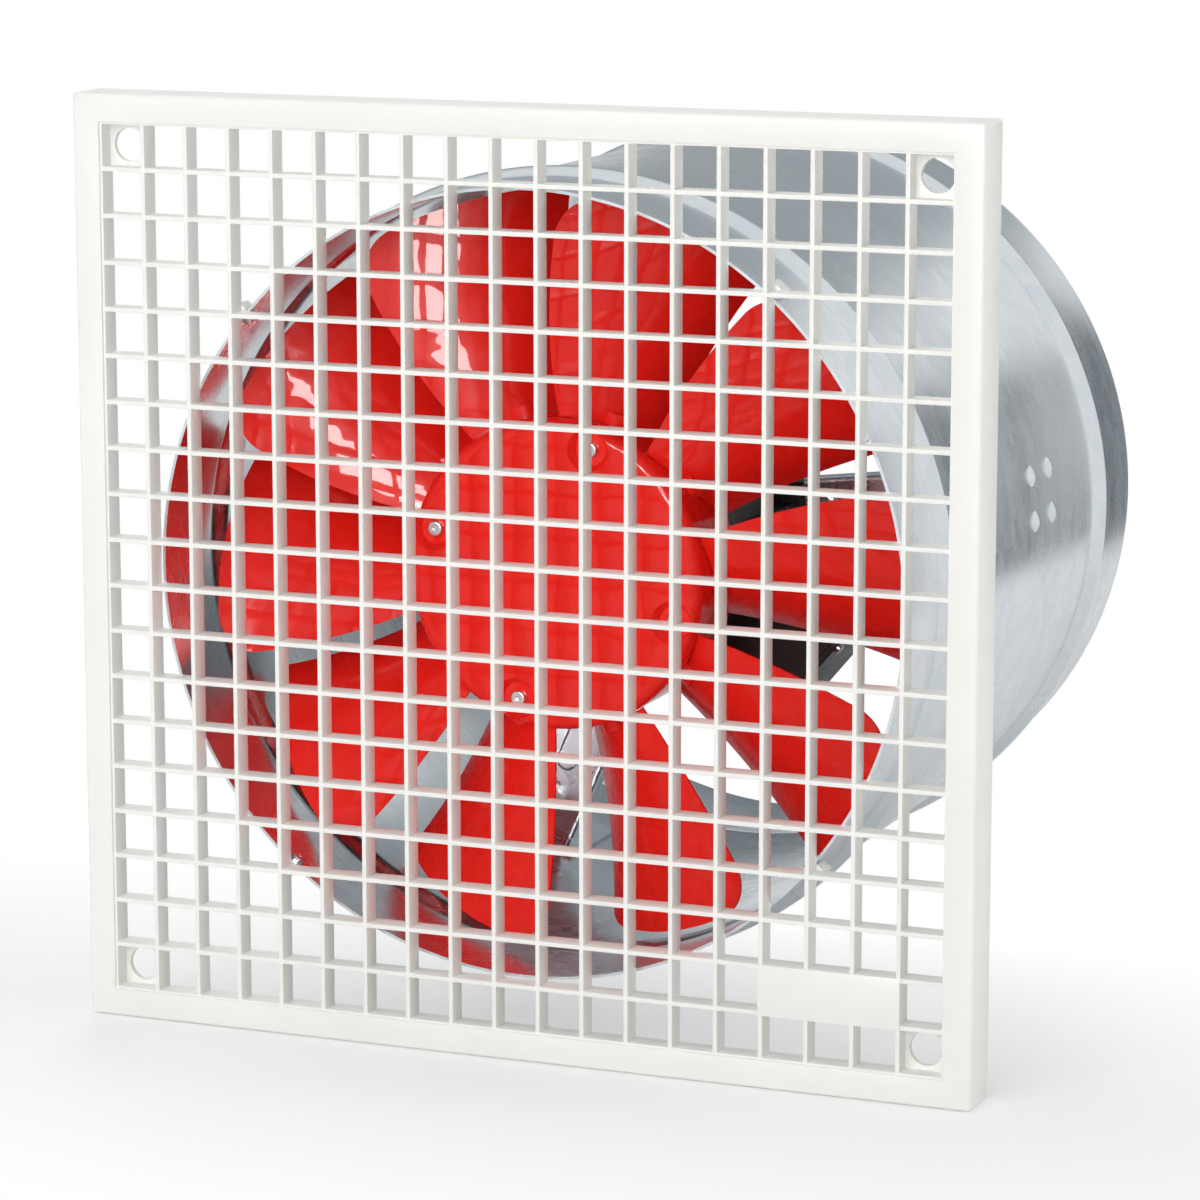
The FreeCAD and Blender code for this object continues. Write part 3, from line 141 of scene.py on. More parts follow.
def place(tree: Tree, layout: Layout) -> Socket:
    """The coordinates that a pattern follows, in metres.

    Args:
        tree: The material's tree.
        layout: Straight object coordinates, or unrolled round the fan axis as (arc, along, radius).

    Returns:
        A vector socket.
    """
    raw = add(tree, "ShaderNodeTexCoord").outputs["Object"]
    if layout is Layout.PLAIN:
        return raw
    parts = add(tree, "ShaderNodeSeparateXYZ", {0: raw})
    turn = add(tree, "ShaderNodeMath", {0: parts.outputs["X"], 1: parts.outputs["Z"]},
               operation="ARCTAN2")
    arc = add(tree, "ShaderNodeMath", {0: turn.outputs[0], 1: UNROLL_RADIUS}, operation="MULTIPLY")
    flat = add(tree, "ShaderNodeCombineXYZ", {"X": parts.outputs["X"], "Y": 0.0, "Z": parts.outputs["Z"]})
    radius = add(tree, "ShaderNodeVectorMath", {0: flat.outputs[0]}, operation="LENGTH")
    return add(tree, "ShaderNodeCombineXYZ", {"X": arc.outputs[0], "Y": parts.outputs["Y"],
                                              "Z": radius.outputs["Value"]}).outputs[0]


def grain(tree: Tree, at: Socket, size_mm: tuple[float, float, float], detail: float = 2.0) -> Socket:
    """Smooth noise whose lumps have a real size along each axis.

    Args:
        tree: The material's tree.
        at: Coordinates in metres.
        size_mm: The lump size along X, Y and Z.
        detail: Octaves of the noise.

    Returns:
        A value around 0.5.
    """
    scaled = add(tree, "ShaderNodeMapping", {"Vector": at, "Scale": tuple(1000.0 / s for s in size_mm)})
    noise = add(tree, "ShaderNodeTexNoise", {"Vector": scaled.outputs[0], "Scale": 1.0, "Detail": detail})
    return noise.outputs["Fac"]


def spread(tree: Tree, value: Socket, low: float, high: float,
           start: float = 0.3, end: float = 0.7) -> Socket:
    """Maps a pattern's value from start..end to low..high, with its ends held."""
    return add(tree, "ShaderNodeMapRange", {"Value": value, "From Min": start, "From Max": end,
                                            "To Min": low, "To Max": high}).outputs["Result"]


def blend(tree: Tree, amount: Socket | float, first: Any, second: Any) -> Socket:
    """Mixes two colours by an amount of 0 to 1."""
    mix = add(tree, "ShaderNodeMix", {"Factor": amount, 6: first, 7: second}, data_type="RGBA")
    return mix.outputs[2]


def relief(tree: Tree, height: Socket, depth_mm: float, under: Socket | None = None,
           strength: float = 1.0) -> Socket:
    """A bump of a real depth, over another bump if one is given."""
    inputs: dict[str | int, Any] = {"Height": height, "Distance": depth_mm * MM, "Strength": strength}
    if under is not None:
        inputs["Normal"] = under
    return add(tree, "ShaderNodeBump", inputs).outputs["Normal"]


# ---------------------------------------------------------------- finishes

@dataclass(frozen=True)
class Finish:
    """A real material: what it is called, its base values and the pattern that its making leaves."""

    name: str
    colour: str
    shade: str
    roughness: float
    metallic: float = 0.0
    layout: Layout = Layout.PLAIN

    def dress(self, tree: Tree, shader: bpy.types.Node, at: Socket) -> None:
        """Links the pattern to the shader; each finish has its own."""
        raise NotImplementedError

    def make(self) -> bpy.types.Material:
        """Builds the material once and returns it."""
        known = bpy.data.materials.get(self.name)
        if known is not None:
            return known
        material = empty_material(self.name)
        tree = material.node_tree
        shader = add(tree, "ShaderNodeBsdfPrincipled", {
            "Metallic": self.metallic, "Roughness": self.roughness, "Base Color": linear(self.colour)})
        add(tree, "ShaderNodeOutputMaterial", {"Surface": shader.outputs[0]})
        self.dress(tree, shader, place(tree, self.layout))
        return material

    def coat(self, shader: bpy.types.Node, weight: float, roughness: float) -> None:
        """Lays a clear coat of an even weight and roughness over the shader."""
        shader.inputs["Coat Weight"].default_value = weight
        shader.inputs["Coat Roughness"].default_value = roughness

    def put(self, tree: Tree, shader: bpy.types.Node, **links: Socket) -> None:
        """Links sockets to the shader's inputs, with _ in a name read as a space."""
        for name, socket in links.items():
            tree.links.new(socket, shader.inputs[name.replace("_", " ")])


@dataclass(frozen=True)
class MouldedPlastic(Finish):
    """An injection moulding with an eroded mould texture.

    The eye gets a soft sheen, a very fine even grain, and faint flow clouds in the colour.
    """

    texture_mm: float = 0.9
    texture_depth_mm: float = 0.02
    cloud_mm: float = 60.0
    scuff_mm: tuple[float, float, float] = (4.0, 30.0, 9.0)

    def dress(self, tree: Tree, shader: bpy.types.Node, at: Socket) -> None:
        """Flow clouds, scuffs, and the mould texture, drawn coarser than the real 0.2 mm so it shows."""
        clouds = grain(tree, at, (self.cloud_mm,) * 3, 3.0)
        fine = grain(tree, at, (self.texture_mm,) * 3)
        scuffs = grain(tree, at, self.scuff_mm, 4.0)
        colour = blend(tree, spread(tree, clouds, 0.0, 1.0), linear(self.colour), linear(self.shade))
        rough = add(tree, "ShaderNodeMath", {0: spread(tree, scuffs, -0.05, 0.06), 1: self.roughness},
                    operation="ADD")
        self.put(tree, shader, Base_Color=colour, Roughness=rough.outputs[0],
                 Normal=relief(tree, fine, self.texture_depth_mm))


@dataclass(frozen=True)
class GalvanisedSheet(Finish):
    """Hot-dip galvanised steel, skin-passed and rolled round.

    The eye gets a pale blue-grey metal with soft crystal patches, fine rolling lines along the sheet,
    and a few dull smears from handling.
    """

    crystal_mm: float = 9.0
    line_mm: tuple[float, float, float] = (60.0, 1.2, 1.2)
    line_depth_mm: float = 0.003
    smear_mm: tuple[float, float, float] = (120.0, 60.0, 60.0)

    def dress(self, tree: Tree, shader: bpy.types.Node, at: Socket) -> None:
        """Crystal patches, rolling lines 0.4 mm apart that are drawn at 1.2 mm, and smears."""
        cells = add(tree, "ShaderNodeMapping", {"Vector": at, "Scale": (1000.0 / self.crystal_mm,) * 3})
        warp = add(tree, "ShaderNodeTexNoise", {"Vector": cells.outputs[0], "Scale": 1.3, "Detail": 2.0})
        bent = add(tree, "ShaderNodeVectorMath", {0: warp.outputs["Color"], 1: cells.outputs[0]},
                   operation="ADD")
        crystal = add(tree, "ShaderNodeTexVoronoi", {"Vector": bent.outputs[0], "Scale": 1.0})
        patch = add(tree, "ShaderNodeSeparateColor", {0: crystal.outputs["Color"]}).outputs[0]
        lines = grain(tree, at, self.line_mm)
        smears = grain(tree, at, self.smear_mm, 4.0)
        tone = blend(tree, spread(tree, patch, 0.0, 0.22, 0.0, 1.0), linear(self.colour), linear(self.shade))
        tone = blend(tree, spread(tree, smears, 0.0, 0.2, 0.45, 0.8), tone, linear(self.shade))
        rough = spread(tree, patch, self.roughness - 0.02, self.roughness + 0.03, 0.0, 1.0)
        worn = add(tree, "ShaderNodeMath", {0: rough, 1: spread(tree, smears, -0.03, 0.06)}, operation="ADD")
        streaks = add(tree, "ShaderNodeMath", {0: worn.outputs[0], 1: spread(tree, lines, -0.02, 0.02)},
                      operation="ADD")
        self.put(tree, shader, Base_Color=tone, Roughness=streaks.outputs[0],
                 Normal=relief(tree, lines, self.line_depth_mm))


@dataclass(frozen=True)
class ZincPlate(Finish):
    """Bright zinc plating on small steel parts.

    The eye gets a pale metal with a hint of blue and yellow, and tiny dull specks.
    """

    tint_mm: float = 5.0
    speck_mm: float = 0.5
    speck_depth_mm: float = 0.008

    def dress(self, tree: Tree, shader: bpy.types.Node, at: Socket) -> None:
        """A passivated tint in small clouds, and dull specks."""
        tint = grain(tree, at, (self.tint_mm,) * 3)
        specks = grain(tree, at, (self.speck_mm,) * 3)
        colour = blend(tree, spread(tree, tint, 0.0, 1.0), linear(self.colour), linear(self.shade))
        self.put(tree, shader, Base_Color=colour,
                 Roughness=spread(tree, specks, self.roughness - 0.05, self.roughness + 0.14),
                 Normal=relief(tree, specks, self.speck_depth_mm))


@dataclass(frozen=True)
class GlossEnamel(Finish):
    """Polyester enamel baked on die-cast aluminium.

    The eye gets a deep red under a wet clear gloss, with long soft ripples in the reflections,
    a few dust nibs, and a slightly darker film where the enamel ran thick.
    """

    flow_mm: float = 45.0
    flow_depth_mm: float = 2.2
    ripple_mm: float = 7.0
    ripple_depth_mm: float = 0.05
    nib_mm: float = 1.0
    nib_depth_mm: float = 0.02
    coat_ior: float = 1.42
    base_shine: float = 0.08

    def dress(self, tree: Tree, shader: bpy.types.Node, at: Socket) -> None:
        """A slow flow, orange peel over it, and nibs that only the base under the clear gloss shows."""
        flow = grain(tree, at, (self.flow_mm,) * 3)
        peel = grain(tree, at, (self.ripple_mm,) * 3, 1.0)
        nibs = grain(tree, at, (self.nib_mm,) * 3, 1.0)
        colour = blend(tree, spread(tree, flow, 0.0, 1.0), linear(self.colour), linear(self.shade))
        self.coat(shader, 0.5, 0.02)
        shader.inputs["Coat IOR"].default_value = self.coat_ior
        shader.inputs["Specular IOR Level"].default_value = self.base_shine
        slow = relief(tree, flow, self.flow_depth_mm, None, 0.6)
        wet = relief(tree, peel, self.ripple_depth_mm, slow)
        dusty = relief(tree, spread(tree, nibs, 0.0, 1.0, 0.7, 0.8), self.nib_depth_mm, wet)
        self.put(tree, shader, Base_Color=colour, Normal=dusty, Coat_Normal=wet,
                 Roughness=spread(tree, peel, self.roughness - 0.04, self.roughness + 0.06))


@dataclass(frozen=True)
class CastPaint(Finish):
    """Stoving paint over a sand-textured aluminium casting.

    The eye gets a dull near-black skin with casting grain and paler rubbed ridges.
    """

    grain_mm: float = 1.4
    grain_depth_mm: float = 0.12
    dust_mm: float = 20.0
    rubbed: str = "8C8F90"
    rubbed_from: float = 0.54
    rubbed_to: float = 0.62

    def dress(self, tree: Tree, shader: bpy.types.Node, at: Socket) -> None:
        """Casting grain, dust in clouds, and rubbed edges from the mesh's own sharpness."""
        cast = grain(tree, at, (self.grain_mm,) * 3, 3.0)
        dust = grain(tree, at, (self.dust_mm,) * 3, 4.0)
        edge = add(tree, "ShaderNodeNewGeometry").outputs["Pointiness"]
        worn = spread(tree, edge, 0.0, 0.5, self.rubbed_from, self.rubbed_to)
        colour = blend(tree, spread(tree, dust, 0.0, 0.8), linear(self.colour), linear(self.shade))
        colour = blend(tree, worn, colour, linear(self.rubbed))
        self.put(tree, shader, Base_Color=colour,
                 Roughness=spread(tree, cast, self.roughness - 0.08, self.roughness + 0.1),
                 Normal=relief(tree, cast, self.grain_depth_mm))


@dataclass(frozen=True)
class BareAluminium(Finish):
    """Shot-blasted or turned aluminium, left bare.

    The eye gets a light satin metal with a fine sparkle and faint grey stains.
    """

    pit_mm: float = 0.8
    pit_depth_mm: float = 0.05
    stain_mm: float = 15.0

    def dress(self, tree: Tree, shader: bpy.types.Node, at: Socket) -> None:
        """Blast pits and stains."""
        pits = grain(tree, at, (self.pit_mm,) * 3)
        stains = grain(tree, at, (self.stain_mm,) * 3, 4.0)
        colour = blend(tree, spread(tree, stains, 0.0, 1.0), linear(self.colour), linear(self.shade))
        self.put(tree, shader, Base_Color=colour,
                 Roughness=spread(tree, pits, self.roughness - 0.06, self.roughness + 0.08),
                 Normal=relief(tree, pits, self.pit_depth_mm))


@dataclass(frozen=True)
class TurnedSteel(Finish):
    """Ground or turned steel, with tool marks that run round the fan axis.

    The eye gets a clean grey metal whose highlight is drawn into fine rings.
    """

    layout: Layout = Layout.ROUND_AXIS
    mark_mm: tuple[float, float, float] = (40.0, 0.6, 0.6)
    mark_depth_mm: float = 0.01
    film_mm: float = 12.0

    def dress(self, tree: Tree, shader: bpy.types.Node, at: Socket) -> None:
        """Marks 0.3 mm apart that are drawn at 0.6 mm, and an oil film."""
        marks = grain(tree, at, self.mark_mm)
        film = grain(tree, at, (self.film_mm,) * 3, 3.0)
        colour = blend(tree, spread(tree, film, 0.0, 1.0), linear(self.colour), linear(self.shade))
        self.put(tree, shader, Base_Color=colour,
                 Roughness=spread(tree, marks, self.roughness - 0.05, self.roughness + 0.1),
                 Normal=relief(tree, marks, self.mark_depth_mm))


@dataclass(frozen=True)
class StackedSteel(Finish):
    """Electrical steel laminations pressed into a stack.

    The eye gets thin dark and pale bands across the stack, with a light film of rust-brown varnish.
    """

    sheet_mm: float = 1.0
    sheet_depth_mm: float = 0.05
    varnish_mm: float = 10.0
    varnish: str = "5A4636"

    def dress(self, tree: Tree, shader: bpy.types.Node, at: Socket) -> None:
        """Sheets of 0.5 mm that are drawn at 1 mm, and varnish in clouds."""
        along = add(tree, "ShaderNodeSeparateXYZ", {0: at}).outputs["Y"]
        turns = add(tree, "ShaderNodeMath", {0: along, 1: math.tau / (self.sheet_mm * MM)},
                    operation="MULTIPLY")
        band = add(tree, "ShaderNodeMath", {0: turns.outputs[0]}, operation="SINE").outputs[0]
        clouds = grain(tree, at, (self.varnish_mm,) * 3, 3.0)
        colour = blend(tree, spread(tree, band, 0.0, 1.0, -1.0, 1.0), linear(self.colour), linear(self.shade))
        colour = blend(tree, spread(tree, clouds, 0.0, 0.5, 0.5, 0.8), colour, linear(self.varnish))
        self.put(tree, shader, Base_Color=colour, Normal=relief(tree, band, self.sheet_depth_mm),
                 Roughness=spread(tree, clouds, self.roughness - 0.05, self.roughness + 0.15))


@dataclass(frozen=True)
class WoundCopper(Finish):
    """Enamelled copper wire, wound and varnished.

    The eye gets warm brown-orange strands with a varnish gloss.
    """

    strand_mm: tuple[float, float, float] = (60.0, 1.0, 1.0)
    strand_depth_mm: float = 0.35
    varnish_mm: float = 12.0

    def dress(self, tree: Tree, shader: bpy.types.Node, at: Socket) -> None:
        """Strands of 0.8 mm that are drawn at 1 mm round the coil, with dark varnish between them."""
        strands = grain(tree, at, self.strand_mm, 1.0)
        varnish = grain(tree, at, (self.varnish_mm,) * 3, 3.0)
        share = spread(tree, strands, 0.0, 1.0, 0.4, 0.6)
        colour = blend(tree, share, linear(self.shade), linear(self.colour))
        self.coat(shader, 0.4, 0.2)
        self.put(tree, shader, Base_Color=colour, Normal=relief(tree, strands, self.strand_depth_mm),
                 Roughness=spread(tree, varnish, self.roughness - 0.05, self.roughness + 0.1))


@dataclass(frozen=True)
class Rubber(Finish):
    """EPDM rubber from a mould.

    The eye gets a flat black with a dry grey bloom.
    """

    bloom_mm: float = 6.0
    skin_mm: float = 0.6
    skin_depth_mm: float = 0.03

    def dress(self, tree: Tree, shader: bpy.types.Node, at: Socket) -> None:
        """Bloom in clouds over a fine skin."""
        bloom = grain(tree, at, (self.bloom_mm,) * 3, 4.0)
        skin = grain(tree, at, (self.skin_mm,) * 3)
        colour = blend(tree, spread(tree, bloom, 0.0, 1.0), linear(self.colour), linear(self.shade))
        self.put(tree, shader, Base_Color=colour, Normal=relief(tree, skin, self.skin_depth_mm),
                 Roughness=spread(tree, bloom, self.roughness - 0.05, self.roughness + 0.1))


FINISHES: dict[str, Finish] = {
    "grille_plastic": MouldedPlastic("asa_moulded_white", "F4F4F0", "F1F1EC", 0.42),
    "label_blank": MouldedPlastic("asa_smooth_white", "F4F4F0", "F2F2EE", 0.34, texture_depth_mm=0.004),
    "galvanised_sheet": GalvanisedSheet("steel_galvanised", "D3D9DD", "B9C1C7", 0.26, 1.0,
                                        Layout.ROUND_AXIS),
    "zinc_plated_steel": ZincPlate("steel_zinc_plated", "D5D6D4", "C6CCD2", 0.24, 1.0),
    "impeller_red": GlossEnamel("enamel_signal_red", "FF2A20", "F8241B", 0.25),
    "motor_casting": CastPaint("cast_aluminium_black_paint", "1F2123", "2C2E30", 0.5),
    "shield_aluminium": BareAluminium("cast_aluminium_blasted", "BFC2C4", "A9ADB0", 0.42, 1.0),
    "shaft_steel": TurnedSteel("steel_ground", "BDBDBD", "A8A8A6", 0.26, 1.0),
    "lamination_steel": StackedSteel("electrical_steel_stack", "8E9092", "5B5D5F", 0.45, 0.9),
    "copper_winding": WoundCopper("copper_enamelled_wire", "B8622E", "5E2A14", 0.4, 0.6,
                                  Layout.ROUND_AXIS),
    "bearing_steel": TurnedSteel("steel_bearing_ground", "CFCFCF", "BEBEBC", 0.14, 1.0),
    "box_plastic": MouldedPlastic("abs_moulded_grey", "3A3C3E", "343638", 0.48,
                                  texture_depth_mm=0.04),
    "gland_plastic": MouldedPlastic("polyamide_moulded_black", "1B1C1D", "232425", 0.4,
                                    texture_depth_mm=0.02),
    "seal_rubber": Rubber("epdm_rubber", "161616", "232322", 0.75),
    "capacitor_case": MouldedPlastic("polypropylene_case", "D9D6CC", "CECABF", 0.38,
                                     texture_depth_mm=0.01),
    "terminal_plastic": MouldedPlastic("polyamide_natural", "E4DFCE", "D6D0BC", 0.45,
                                       texture_depth_mm=0.02),
}


# ---------------------------------------------------------------- mesh helpers

def link_mesh(name: str, bm: bmesh.types.BMesh, material: bpy.types.Material) -> Piece:
    """Puts a bmesh in the scene as an object with one material, and frees it."""
    mesh = bpy.data.meshes.new(name)
    bm.to_mesh(mesh)
    bm.free()
    mesh.materials.append(material)
    piece = bpy.data.objects.new(name, mesh)
    bpy.context.scene.collection.objects.link(piece)
    return piece


def finish_piece(name: str, bm: bmesh.types.BMesh, slot: str, body: str, *nodes: str) -> Piece:
    """Turns a bmesh into a dressed object that rides on a body.

    Args:
        name: The piece's name.
        bm: Its mesh in metres, at its place; freed here.
        slot: The record's material slot.
        body: The body that it rides on.
        *nodes: The CAD nodes that it stands for.

    Returns:
        The new object.
    """
    bmesh.ops.remove_doubles(bm, verts=bm.verts[:], dist=0.002 * MM)
    bmesh.ops.recalc_face_normals(bm, faces=bm.faces[:])
    for face in bm.faces:
        face.smooth = True
    for edge in bm.edges:
        edge.smooth = len(edge.link_faces) == 2 and edge.calc_face_angle(0.0) < math.radians(SHARP_DEGREES)
    piece = link_mesh(name, bm, FINISHES[slot].make())
    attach(piece, body)
    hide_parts(*nodes)
    return piece


def verts_of(geometry: Iterable[Any]) -> list[bmesh.types.BMVert]:
    """The vertices among the elements that a mesh operator returns."""
    return [g for g in geometry if isinstance(g, bmesh.types.BMVert)]


def reach(corner: Vector) -> float:
    """Half the side of the square about the fan axis that a point lies on."""
    return max(abs(corner.x), abs(corner.z))


def bevel(bm: bmesh.types.BMesh, edges: Iterable[bmesh.types.BMEdge], radius: float,
          segments: int = 2) -> None:
    """Rounds edges of a mesh.

    Args:
        bm: The mesh.
        edges: The edges to round.
        radius: The rounding in metres.
        segments: Faces across the rounding.
    """
    bmesh.ops.bevel(bm, geom=list(edges), offset=radius, offset_type="OFFSET", segments=segments,
                    profile=0.5, affect="EDGES", clamp_overlap=True, material=-1)


def carry_loop(bm: bmesh.types.BMesh, loop: list[bmesh.types.BMEdge], half: float,
               y: float) -> list[bmesh.types.BMEdge]:
    """Extrudes a square loop about the fan axis to a new half side and a new place.

    Args:
        bm: The mesh.
        loop: The loop's edges.
        half: Half the new square's side.
        y: The new place along the axis.

    Returns:
        The new loop's edges.
    """
    out = bmesh.ops.extrude_edge_only(bm, edges=loop)["geom"]
    for vert in verts_of(out):
        grow = half / reach(vert.co)
        vert.co = Vector((vert.co.x * grow, y, vert.co.z * grow))
    return [g for g in out if isinstance(g, bmesh.types.BMEdge)]


# ---------------------------------------------------------------- grille

@dataclass
class Grille:
    """The square moulded grille with its corner pads, lugs and blank plate. Sizes in metres."""

    cells: int = 19
    border: float = 14.5 * MM
    border_thickness: float = 3.0 * MM
    skirt: float = 2.5 * MM
    web: float = 2.3 * MM
    web_recess: float = 1.5 * MM
    web_depth: float = 11.5 * MM
    edge_rounding: float = 2.0 * MM
    web_rounding: float = 0.32 * MM
    lip_rounding: float = 0.6 * MM
    pad_thickness: float = 3.0 * MM
    pad_standoff: float = 1.0 * MM
    pad_lap: float = 0.9
    pad_hole: float = 8.5 * MM
    pad_hole_sides: int = 48
    pad_hole_rounding: float = 0.4 * MM
    lug_width: float = 8.0 * MM
    lug_past_crossing: float = 4.0 * MM
    lug_depth: float = 11.0 * MM
    lug_gap: float = 0.3 * MM
    lug_sink: float = 0.2 * MM
    lug_rounding: float = 0.8 * MM
    lug_crossing: tuple[float, float] = (5.5, 6.5)
    label_rounding: float = 0.4 * MM
    low: Vector = field(default_factory=lambda: Vector(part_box("front_grille")[0]))
    high: Vector = field(default_factory=lambda: Vector(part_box("front_grille")[1]))

    @property
    def half(self) -> float:
        """Half the grille's side."""
        return self.high.x

    @property
    def opening(self) -> float:
        """Half the opening inside the border."""
        return self.half - self.border

    @property
    def pitch(self) -> float:
        """The distance from one web to the next."""
        return 2.0 * self.opening / self.cells

    @property
    def web_front(self) -> float:
        """Where the webs start, just behind the border's face."""
        return self.low.y + self.web_recess

    @property
    def web_back(self) -> float:
        """Where the webs end."""
        return self.web_front + self.web_depth

    def lattice_skin(self, bm: bmesh.types.BMesh, y: float) -> None:
        """Adds the flat net of webs at one depth.

        Args:
            bm: The mesh.
            y: Its place along the axis.
        """
        known = set(bm.faces)
        # the grid is drawn lying down, then stood up to face along the axis
        stand = Matrix.Translation((0.0, y, 0.0)) @ Matrix.Rotation(math.radians(90.0), 4, "X")
        bmesh.ops.create_grid(bm, x_segments=self.cells, y_segments=self.cells, size=self.opening,
                              matrix=stand)
        cells = [f for f in bm.faces if f not in known]
        bmesh.ops.inset_individual(bm, faces=cells, thickness=self.web / 2.0, depth=0.0,
                                   use_even_offset=True)
        bmesh.ops.delete(bm, geom=cells, context="FACES")

    def is_outline(self, edge: bmesh.types.BMEdge) -> bool:
        """Whether an edge lies on the opening's square."""
        return all(abs(reach(v.co) - self.opening) < TOUCH for v in edge.verts)

    def moulding(self) -> bmesh.types.BMesh:
        """The webs and the border with its skirt as one closed skin.

        Returns:
            The mesh, with the border's edges and the front of every web rounded.
        """
        bm = bmesh.new()
        self.lattice_skin(bm, self.web_front)
        rim = [e for e in bm.edges if e.is_boundary and self.is_outline(e)]
        mouths = [e for e in bm.edges if e.is_boundary and not self.is_outline(e)]
        walls = bmesh.ops.extrude_edge_only(bm, edges=mouths)["geom"]
        for vert in verts_of(walls):
            vert.co.y = self.web_back
        behind = self.low.y + self.border_thickness
        inner = self.half - self.skirt
        seat = self.opening + self.web
        stations = [(self.opening, self.low.y), (self.half, self.low.y), (self.half, self.high.y),
                    (inner, self.high.y), (inner, behind), (seat, behind), (seat, self.web_back),
                    (self.opening, self.web_back)]
        for half, y in stations:
            rim = carry_loop(bm, rim, half, y)
        self.lattice_skin(bm, self.web_back)
        bmesh.ops.remove_doubles(bm, verts=bm.verts[:], dist=TOUCH / 2.0)
        bmesh.ops.recalc_face_normals(bm, faces=bm.faces[:])
        self.round_edges(bm)
        return bm

    def round_edges(self, bm: bmesh.types.BMesh) -> None:
        """Rounds the border's outside, its inner lip and the front of each cell."""
        def at(edge: bmesh.types.BMEdge, half: float, y: float) -> bool:
            """Whether an edge lies on a square of this half side at this depth."""
            return all(abs(v.co.y - y) < TOUCH and abs(reach(v.co) - half) < TOUCH for v in edge.verts)

        def corner(edge: bmesh.types.BMEdge) -> bool:
            """Whether an edge is one of the four long outer corners."""
            return all(abs(abs(v.co.x) - self.half) < TOUCH and abs(abs(v.co.z) - self.half) < TOUCH
                       for v in edge.verts)

        cell_edges = [e for e in bm.edges if all(abs(v.co.y - self.web_front) < TOUCH for v in e.verts)
                      and e.calc_face_angle(0.0) > FOLD and not self.is_outline(e)]
        bevel(bm, cell_edges, self.web_rounding)
        lips = [e for e in bm.edges if at(e, self.opening, self.low.y) or at(e, self.half, self.high.y)]
        bevel(bm, lips, self.lip_rounding)
        outside = [e for e in bm.edges if at(e, self.half, self.low.y) or corner(e)]
        bevel(bm, outside, self.edge_rounding, 4)

    def pad(self, bm: bmesh.types.BMesh, x: float, z: float) -> None:
        """Adds one corner pad: a square plate with a round fixing hole.

        Args:
            bm: The mesh.
            x: The pad's middle across.
            z: The pad's middle up.
        """
        known = set(bm.verts)
        half = (self.pitch + self.web * self.pad_lap) / 2.0
        front = self.web_back + self.pad_standoff - self.pad_thickness
        turn = Matrix.Rotation(math.radians(90.0), 4, "X")
        ring = bmesh.ops.create_circle(bm, cap_ends=False, segments=self.pad_hole_sides,
                                       radius=self.pad_hole, matrix=turn)["verts"]
        edges = list({e for v in ring for e in v.link_edges})
        outer = bmesh.ops.extrude_edge_only(bm, edges=edges)["geom"]
        for vert in verts_of(outer):
            vert.co *= half / reach(vert.co)
        flat = [f for f in bm.faces if all(v not in known for v in f.verts)]
        solid = bmesh.ops.extrude_face_region(bm, geom=flat, use_keep_orig=True)["geom"]
        for vert in verts_of(solid):
            vert.co.y += self.pad_thickness
        new = [v for v in bm.verts if v not in known]
        bmesh.ops.translate(bm, verts=new, vec=(x, front, z))
        mouth = [e for e in bm.edges if all(
            v not in known and abs(v.co.y - front) < TOUCH
            and abs(math.hypot(v.co.x - x, v.co.z - z) - self.pad_hole) < TOUCH for v in e.verts)]
        bevel(bm, mouth, self.pad_hole_rounding)

    def lug(self, bm: bmesh.types.BMesh, degrees: float, start: float, end: float) -> None:
        """Adds one screw post behind a crossing of the webs, outside the tube.

        Args:
            bm: The mesh.
            degrees: Where it sits round the axis, from three o'clock towards twelve.
            start: Its distance from the axis.
            end: The distance at which it stops.
        """
        size = Matrix.Diagonal((end - start, self.lug_depth, self.lug_width, 1.0))
        middle = Vector(((start + end) / 2.0, self.web_back + self.lug_depth / 2.0 - self.lug_sink, 0.0))
        turn = Matrix.Rotation(math.radians(-degrees), 4, "Y")
        verts = bmesh.ops.create_cube(bm, size=1.0, matrix=turn @ Matrix.Translation(middle) @ size)["verts"]
        bevel(bm, {e for v in verts for e in v.link_edges}, self.lug_rounding)

    def label(self) -> Piece:
        """The blank plate that closes three cells, lower right, in place of its CAD node."""
        low, high = (Vector(c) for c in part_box("label_plate"))
        bm = bmesh.new()
        size = Matrix.Diagonal((*(high - low), 1.0))
        bmesh.ops.create_cube(bm, size=1.0, matrix=Matrix.Translation((low + high) / 2.0) @ size)
        bevel(bm, bm.edges[:], self.label_rounding)
        return finish_piece("label_plate_blank", bm, "label_blank", FIXED_BODY, "label_plate")

    def build(self) -> list[Piece]:
        """Makes the moulding and its plate, and returns both."""
        bm = self.moulding()
        middle = self.opening - self.pitch / 2.0
        for x in (-middle, middle):
            for z in (-middle, middle):
                self.pad(bm, x, z)
        across, up = (step * self.pitch for step in self.lug_crossing)
        away = math.hypot(across, up)
        start = DuctTube().radius + self.lug_gap
        for quarter in range(4):
            degrees = math.degrees(math.atan2(up, across)) + 90.0 * quarter
            self.lug(bm, degrees, start, away + self.lug_past_crossing)
        moulding = finish_piece("grille_moulding", bm, "grille_plastic", FIXED_BODY, "front_grille")
        return [moulding, self.label()]


# ---------------------------------------------------------------- duct tube

